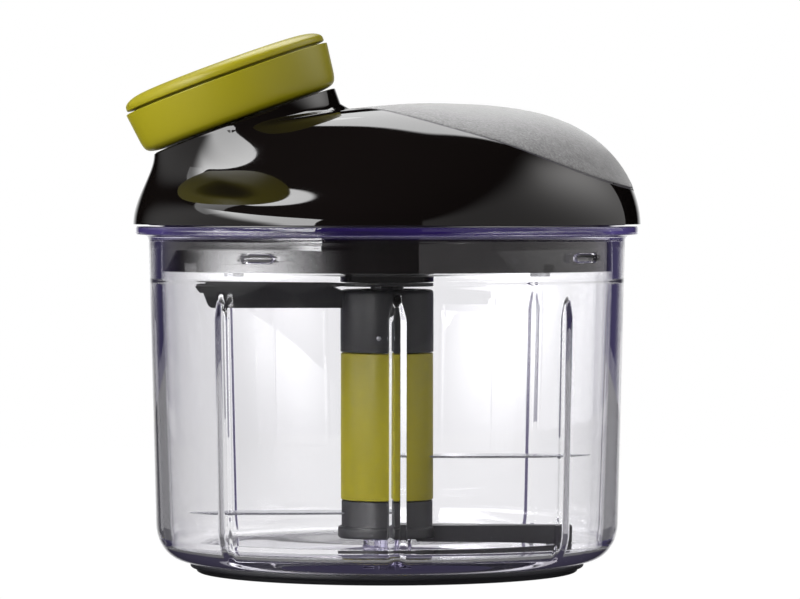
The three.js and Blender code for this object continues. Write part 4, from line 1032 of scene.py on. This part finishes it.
def floor_material():
    """White glowing floor that shows no shadow, with painted shade on its left part where rays other than
    the camera's see it, and a painted darker reflection where it is seen in one mirroring.
    """
    nodes = new_material("white_floor")
    grain = nodes.between(nodes.noise(3, 2), 1.0, 1.02)
    camera = nodes.ray("Is Camera Ray")
    x = nodes.axis(nodes.place(), "X")
    # Painted shade: the floor's left part is darker to all but camera rays
    painted_left_shade = (1 - nodes.soft_step(x, -0.1, -0.015)) * (1 - camera)
    mirrorings = nodes.ray("Glossy Depth")
    seen_in_one_reflection = nodes.math("COMPARE", mirrorings, 1.0, 0.5)
    # Painted darker reflection: the floor dims to a fifth where seen in one mirroring
    level = (grain - painted_left_shade * 0.15) * (1 - seen_in_one_reflection * 0.8)
    white = nodes.node("ShaderNodeCombineColor", {}, {"Red": level, "Green": level, "Blue": level})
    return nodes.finish(nodes.surface(
        Base_Color=colour(0.0, 0.0, 0.0), Roughness=1.0, Emission_Color=white, Emission_Strength=1.0,
        Specular_IOR_Level=0.0))


def make_floor():
    reach = 0.7
    drop = 0.0005
    corners = [(-reach, -reach, 0), (reach, -reach, 0), (reach, reach, 0), (-reach, reach, 0)]
    mesh = bpy.data.meshes.new("floor")
    mesh.from_pydata(corners, [], [(0, 1, 2, 3)])
    mesh.materials.append(floor_material())
    floor = placed("floor", mesh)
    floor.location.z = -drop
    floor.visible_glossy = False


def make_world():
    """White to the camera, white behind and darker beside the object through the clear bowl,
    dim in reflections but for the backdrop."""
    world = bpy.data.worlds.new("studio")
    bpy.context.scene.world = world
    nodes = Nodes(world)
    direction = nodes.node("ShaderNodeTexCoord", output="Generated")
    x, y, z = (nodes.axis(direction, letter) for letter in "XYZ")
    turn = nodes.math("ARCTAN2", x, y)
    wave = nodes.math("COSINE", turn * 4.0 + 0.05)
    side = nodes.math("SINE", turn * 4.0)
    lobes = nodes.soft_step(wave, -0.1, 0.75)
    through = nodes.blend(lobes, colour(0.06, 0.052, 0.12), colour(0.97, 0.97, 0.975))
    mirrorings = nodes.ray("Glossy Depth")
    was_mirrored = nodes.math("GREATER_THAN", mirrorings, 0.5)
    facing = 1 - was_mirrored * nodes.between(y, 0.93, 0.0, 0.5, 0.9)
    rightward = nodes.soft_step(side, -0.3, 0.0) * 0.13 + nodes.soft_step(side, 0.1, 0.6) * 0.2
    evenness = facing * (rightward + 0.89)
    backdrop = nodes.between(y, 0, 1, 0.93, 0.985) * nodes.between(z, 1, 0, 0.08, 0.2)
    camera, transmission, glossy, diffuse = (
        nodes.ray(f"Is {kind} Ray") for kind in ("Camera", "Transmission", "Glossy", "Diffuse"))
    behind_glass = transmission * (1 - camera)
    mirrored = glossy * (1 - transmission) * backdrop
    strength = camera + behind_glass * evenness + mirrored + diffuse * 0.35
    shade = nodes.blend(behind_glass, colour(1, 1, 1), through)
    background = nodes.node("ShaderNodeBackground", {}, {"Color": shade, "Strength": strength})
    nodes.node("ShaderNodeOutputWorld", {}, {"Surface": background})


def soft_spot(nodes, u, v, middle, reach):
    """Brightness that falls away from a middle point, with a reach along u and one along v."""
    aside = (u - middle[0]) * (1 / reach[0])
    above = (v - middle[1]) * (1 / reach[1])
    return nodes.math("EXPONENT", 0 - aside * aside - above * above)


def left_glow(nodes, u, v):
    """Bright beyond a soft slanting edge, with a faint spill towards the back."""
    return nodes.soft_step(u * 0.6 + v * 0.8, 0.46, 0.84) + nodes.soft_step(u, -1.6, 0.0) * 0.055


def right_glow(nodes, u, v):
    """Dim, less so low down, with a soft bright spot behind the object's side."""
    dim = (1 - nodes.soft_step(v, 0.6, 1.4)) * 0.2
    return dim + soft_spot(nodes, u, v, (0.3, 0.66), (0.5, 0.42)) * 0.8


def top_glow(nodes, u, v):
    """Brightest near its curved front edge, fading towards the back."""
    left_part = nodes.math("LESS_THAN", u, 0.0)
    front_edge = nodes.soft_step(v - u * u * (left_part * 2.4 + 0.45), 0.17, 0.23)
    return nodes.math("DIVIDE", front_edge, 1 + v ** 1.5)


def left_low_glow(nodes, u, v):
    return soft_spot(nodes, u, v, (0, -0.037), (0.56, 0.034))


def right_low_glow(nodes, u, v):
    return soft_spot(nodes, u, v, (-0.75, -0.037), (0.75, 0.034))


def make_panel(name, azimuth, span, rise, radiance, painted_glow=None, tint=(1, 1, 1), overhead=False):
    """A soft light panel. An upright one stands across an azimuth that turns from the viewer's side
    towards the object's right. An overhead one lies flat above the lid, its span along X and its
    rise along Y. Span and rise are in panel distances from the point opposite the lid."""
    width = span[1] - span[0]
    height = rise[1] - rise[0]
    data = bpy.data.lights.new(name, "AREA")
    data.shape = "RECTANGLE"
    data.size = width * PANEL_DISTANCE
    data.size_y = height * PANEL_DISTANCE
    data.energy = radiance * math.pi * data.size * data.size_y
    data.color = tint
    if painted_glow:
        nodes = Nodes(data)
        place = nodes.node("ShaderNodeNewGeometry", output="Parametric")
        u = nodes.axis(place, "X") * width + span[0]
        v = nodes.axis(place, "Y") * height + rise[0]
        emission = nodes.node("ShaderNodeEmission", {}, {"Strength": painted_glow(nodes, u, v)})
        nodes.node("ShaderNodeOutputLight", {}, {"Surface": emission})
    panel = placed(name, data)
    turn = azimuth * DEGREE
    middle = (sum(span) / 2, sum(rise) / 2)
    if overhead:
        right, up_axis, away = Vector((1, 0, 0)), Vector((0, 1, 0)), Vector((0, 0, 1))
    else:
        right = Vector((math.cos(turn), math.sin(turn), 0))
        up_axis = Vector((0, 0, 1))
        away = Vector((math.sin(turn), -math.cos(turn), 0))
    panel.location = (away + right * middle[0] + up_axis * middle[1]) * PANEL_DISTANCE
    panel.location.z += LID_HEIGHT
    panel.rotation_euler = Matrix((right, up_axis, away)).transposed().to_euler()
    panel.visible_camera = False


def make_panels():
    make_panel("left_panel", -90, (-1.6, 1.6), (0, 1.28), 8.8, left_glow)
    make_panel("right_panel", 90, (-3.6, 1.0), (-0.03, 1.5), 2.3, right_glow, (1, 0.98, 0.97))
    make_panel("top_panel", 0, (-0.42, 0.46), (0.17, 1.9), 7.8, top_glow, overhead=True)
    make_panel("back_left_panel", -135, (-0.6, 0.6), (0.84, 1.2), 1.2)
    make_panel("left_low_panel", -70, (-1.6, 1.6), (-0.1, 0.04), 9.8, left_low_glow)
    make_panel("right_low_panel", 90, (-3.6, 1.3), (-0.1, 0.04), 6.0, right_low_glow)


def make_camera():
    focal_pixels = 4775
    image_width = 800
    image_height = 599
    axis_px = 387
    horizon_px = 195
    distance = 1.447
    eye_height = 0.1139
    data = bpy.data.cameras.new("camera")
    data.sensor_width = 36
    data.lens = focal_pixels / image_width * data.sensor_width
    data.clip_end = 100
    camera = placed("camera", data)
    camera.location = (0, -distance, eye_height)
    down = math.atan((image_height / 2 - horizon_px) / focal_pixels)
    right = math.atan((image_width / 2 - axis_px) / focal_pixels)
    camera.rotation_euler = (math.radians(90) - down, 0, -right)
    bpy.context.scene.camera = camera


def main():
    bowl_plastic = clear_plastic()
    black = gloss_black()
    grey = hub_plastic()
    olive = olive_plastic()
    steel = blade_steel()
    plain_steel = turned_steel()
    acetal = white_acetal()
    cord_weave = braided_cord()
    silicone = seal_rubber()

    make_bowl(bowl_plastic)
    make_base(foot_rubber())
    make_sleeve(olive)
    make_bottom_hub(grey)
    make_top_hub(grey)
    make_blade("upper_cutter", "upper_blade", steel, blade.upper_reach, blade.upper_height, 0)
    make_blade("lower_cutter", "lower_blade", steel, blade.lower_reach, blade.lower_height, math.pi)
    make_cross_pin(plain_steel)

    skin = skin_finder()
    make_lid_shell(black, skin)
    make_grip_pad(grip_rubber(), silicone, skin)
    make_lid_base(black)
    make_seal(silicone)
    make_winding(cord_weave)
    make_lead(cord_weave)
    make_knot(cord_weave)
    make_handle_body(olive)
    make_handle_cap(olive)

    dress(
        acetal, "blade_core", "spring_case", "spring_cover", "top_bush", "lower_bush", "cord_guide",
        "spool")
    dress(
        plain_steel, "pivot_pin", "return_spring", "spool_shaft", "lid_screw_1", "lid_screw_2",
        "lid_screw_3", "case_screw_1", "case_screw_2", "case_screw_3")
    dress(grey, "drive_dog")

    make_floor()
    make_world()
    make_panels()
    make_camera()
    bpy.context.scene.view_settings.view_transform = "Standard"


main()
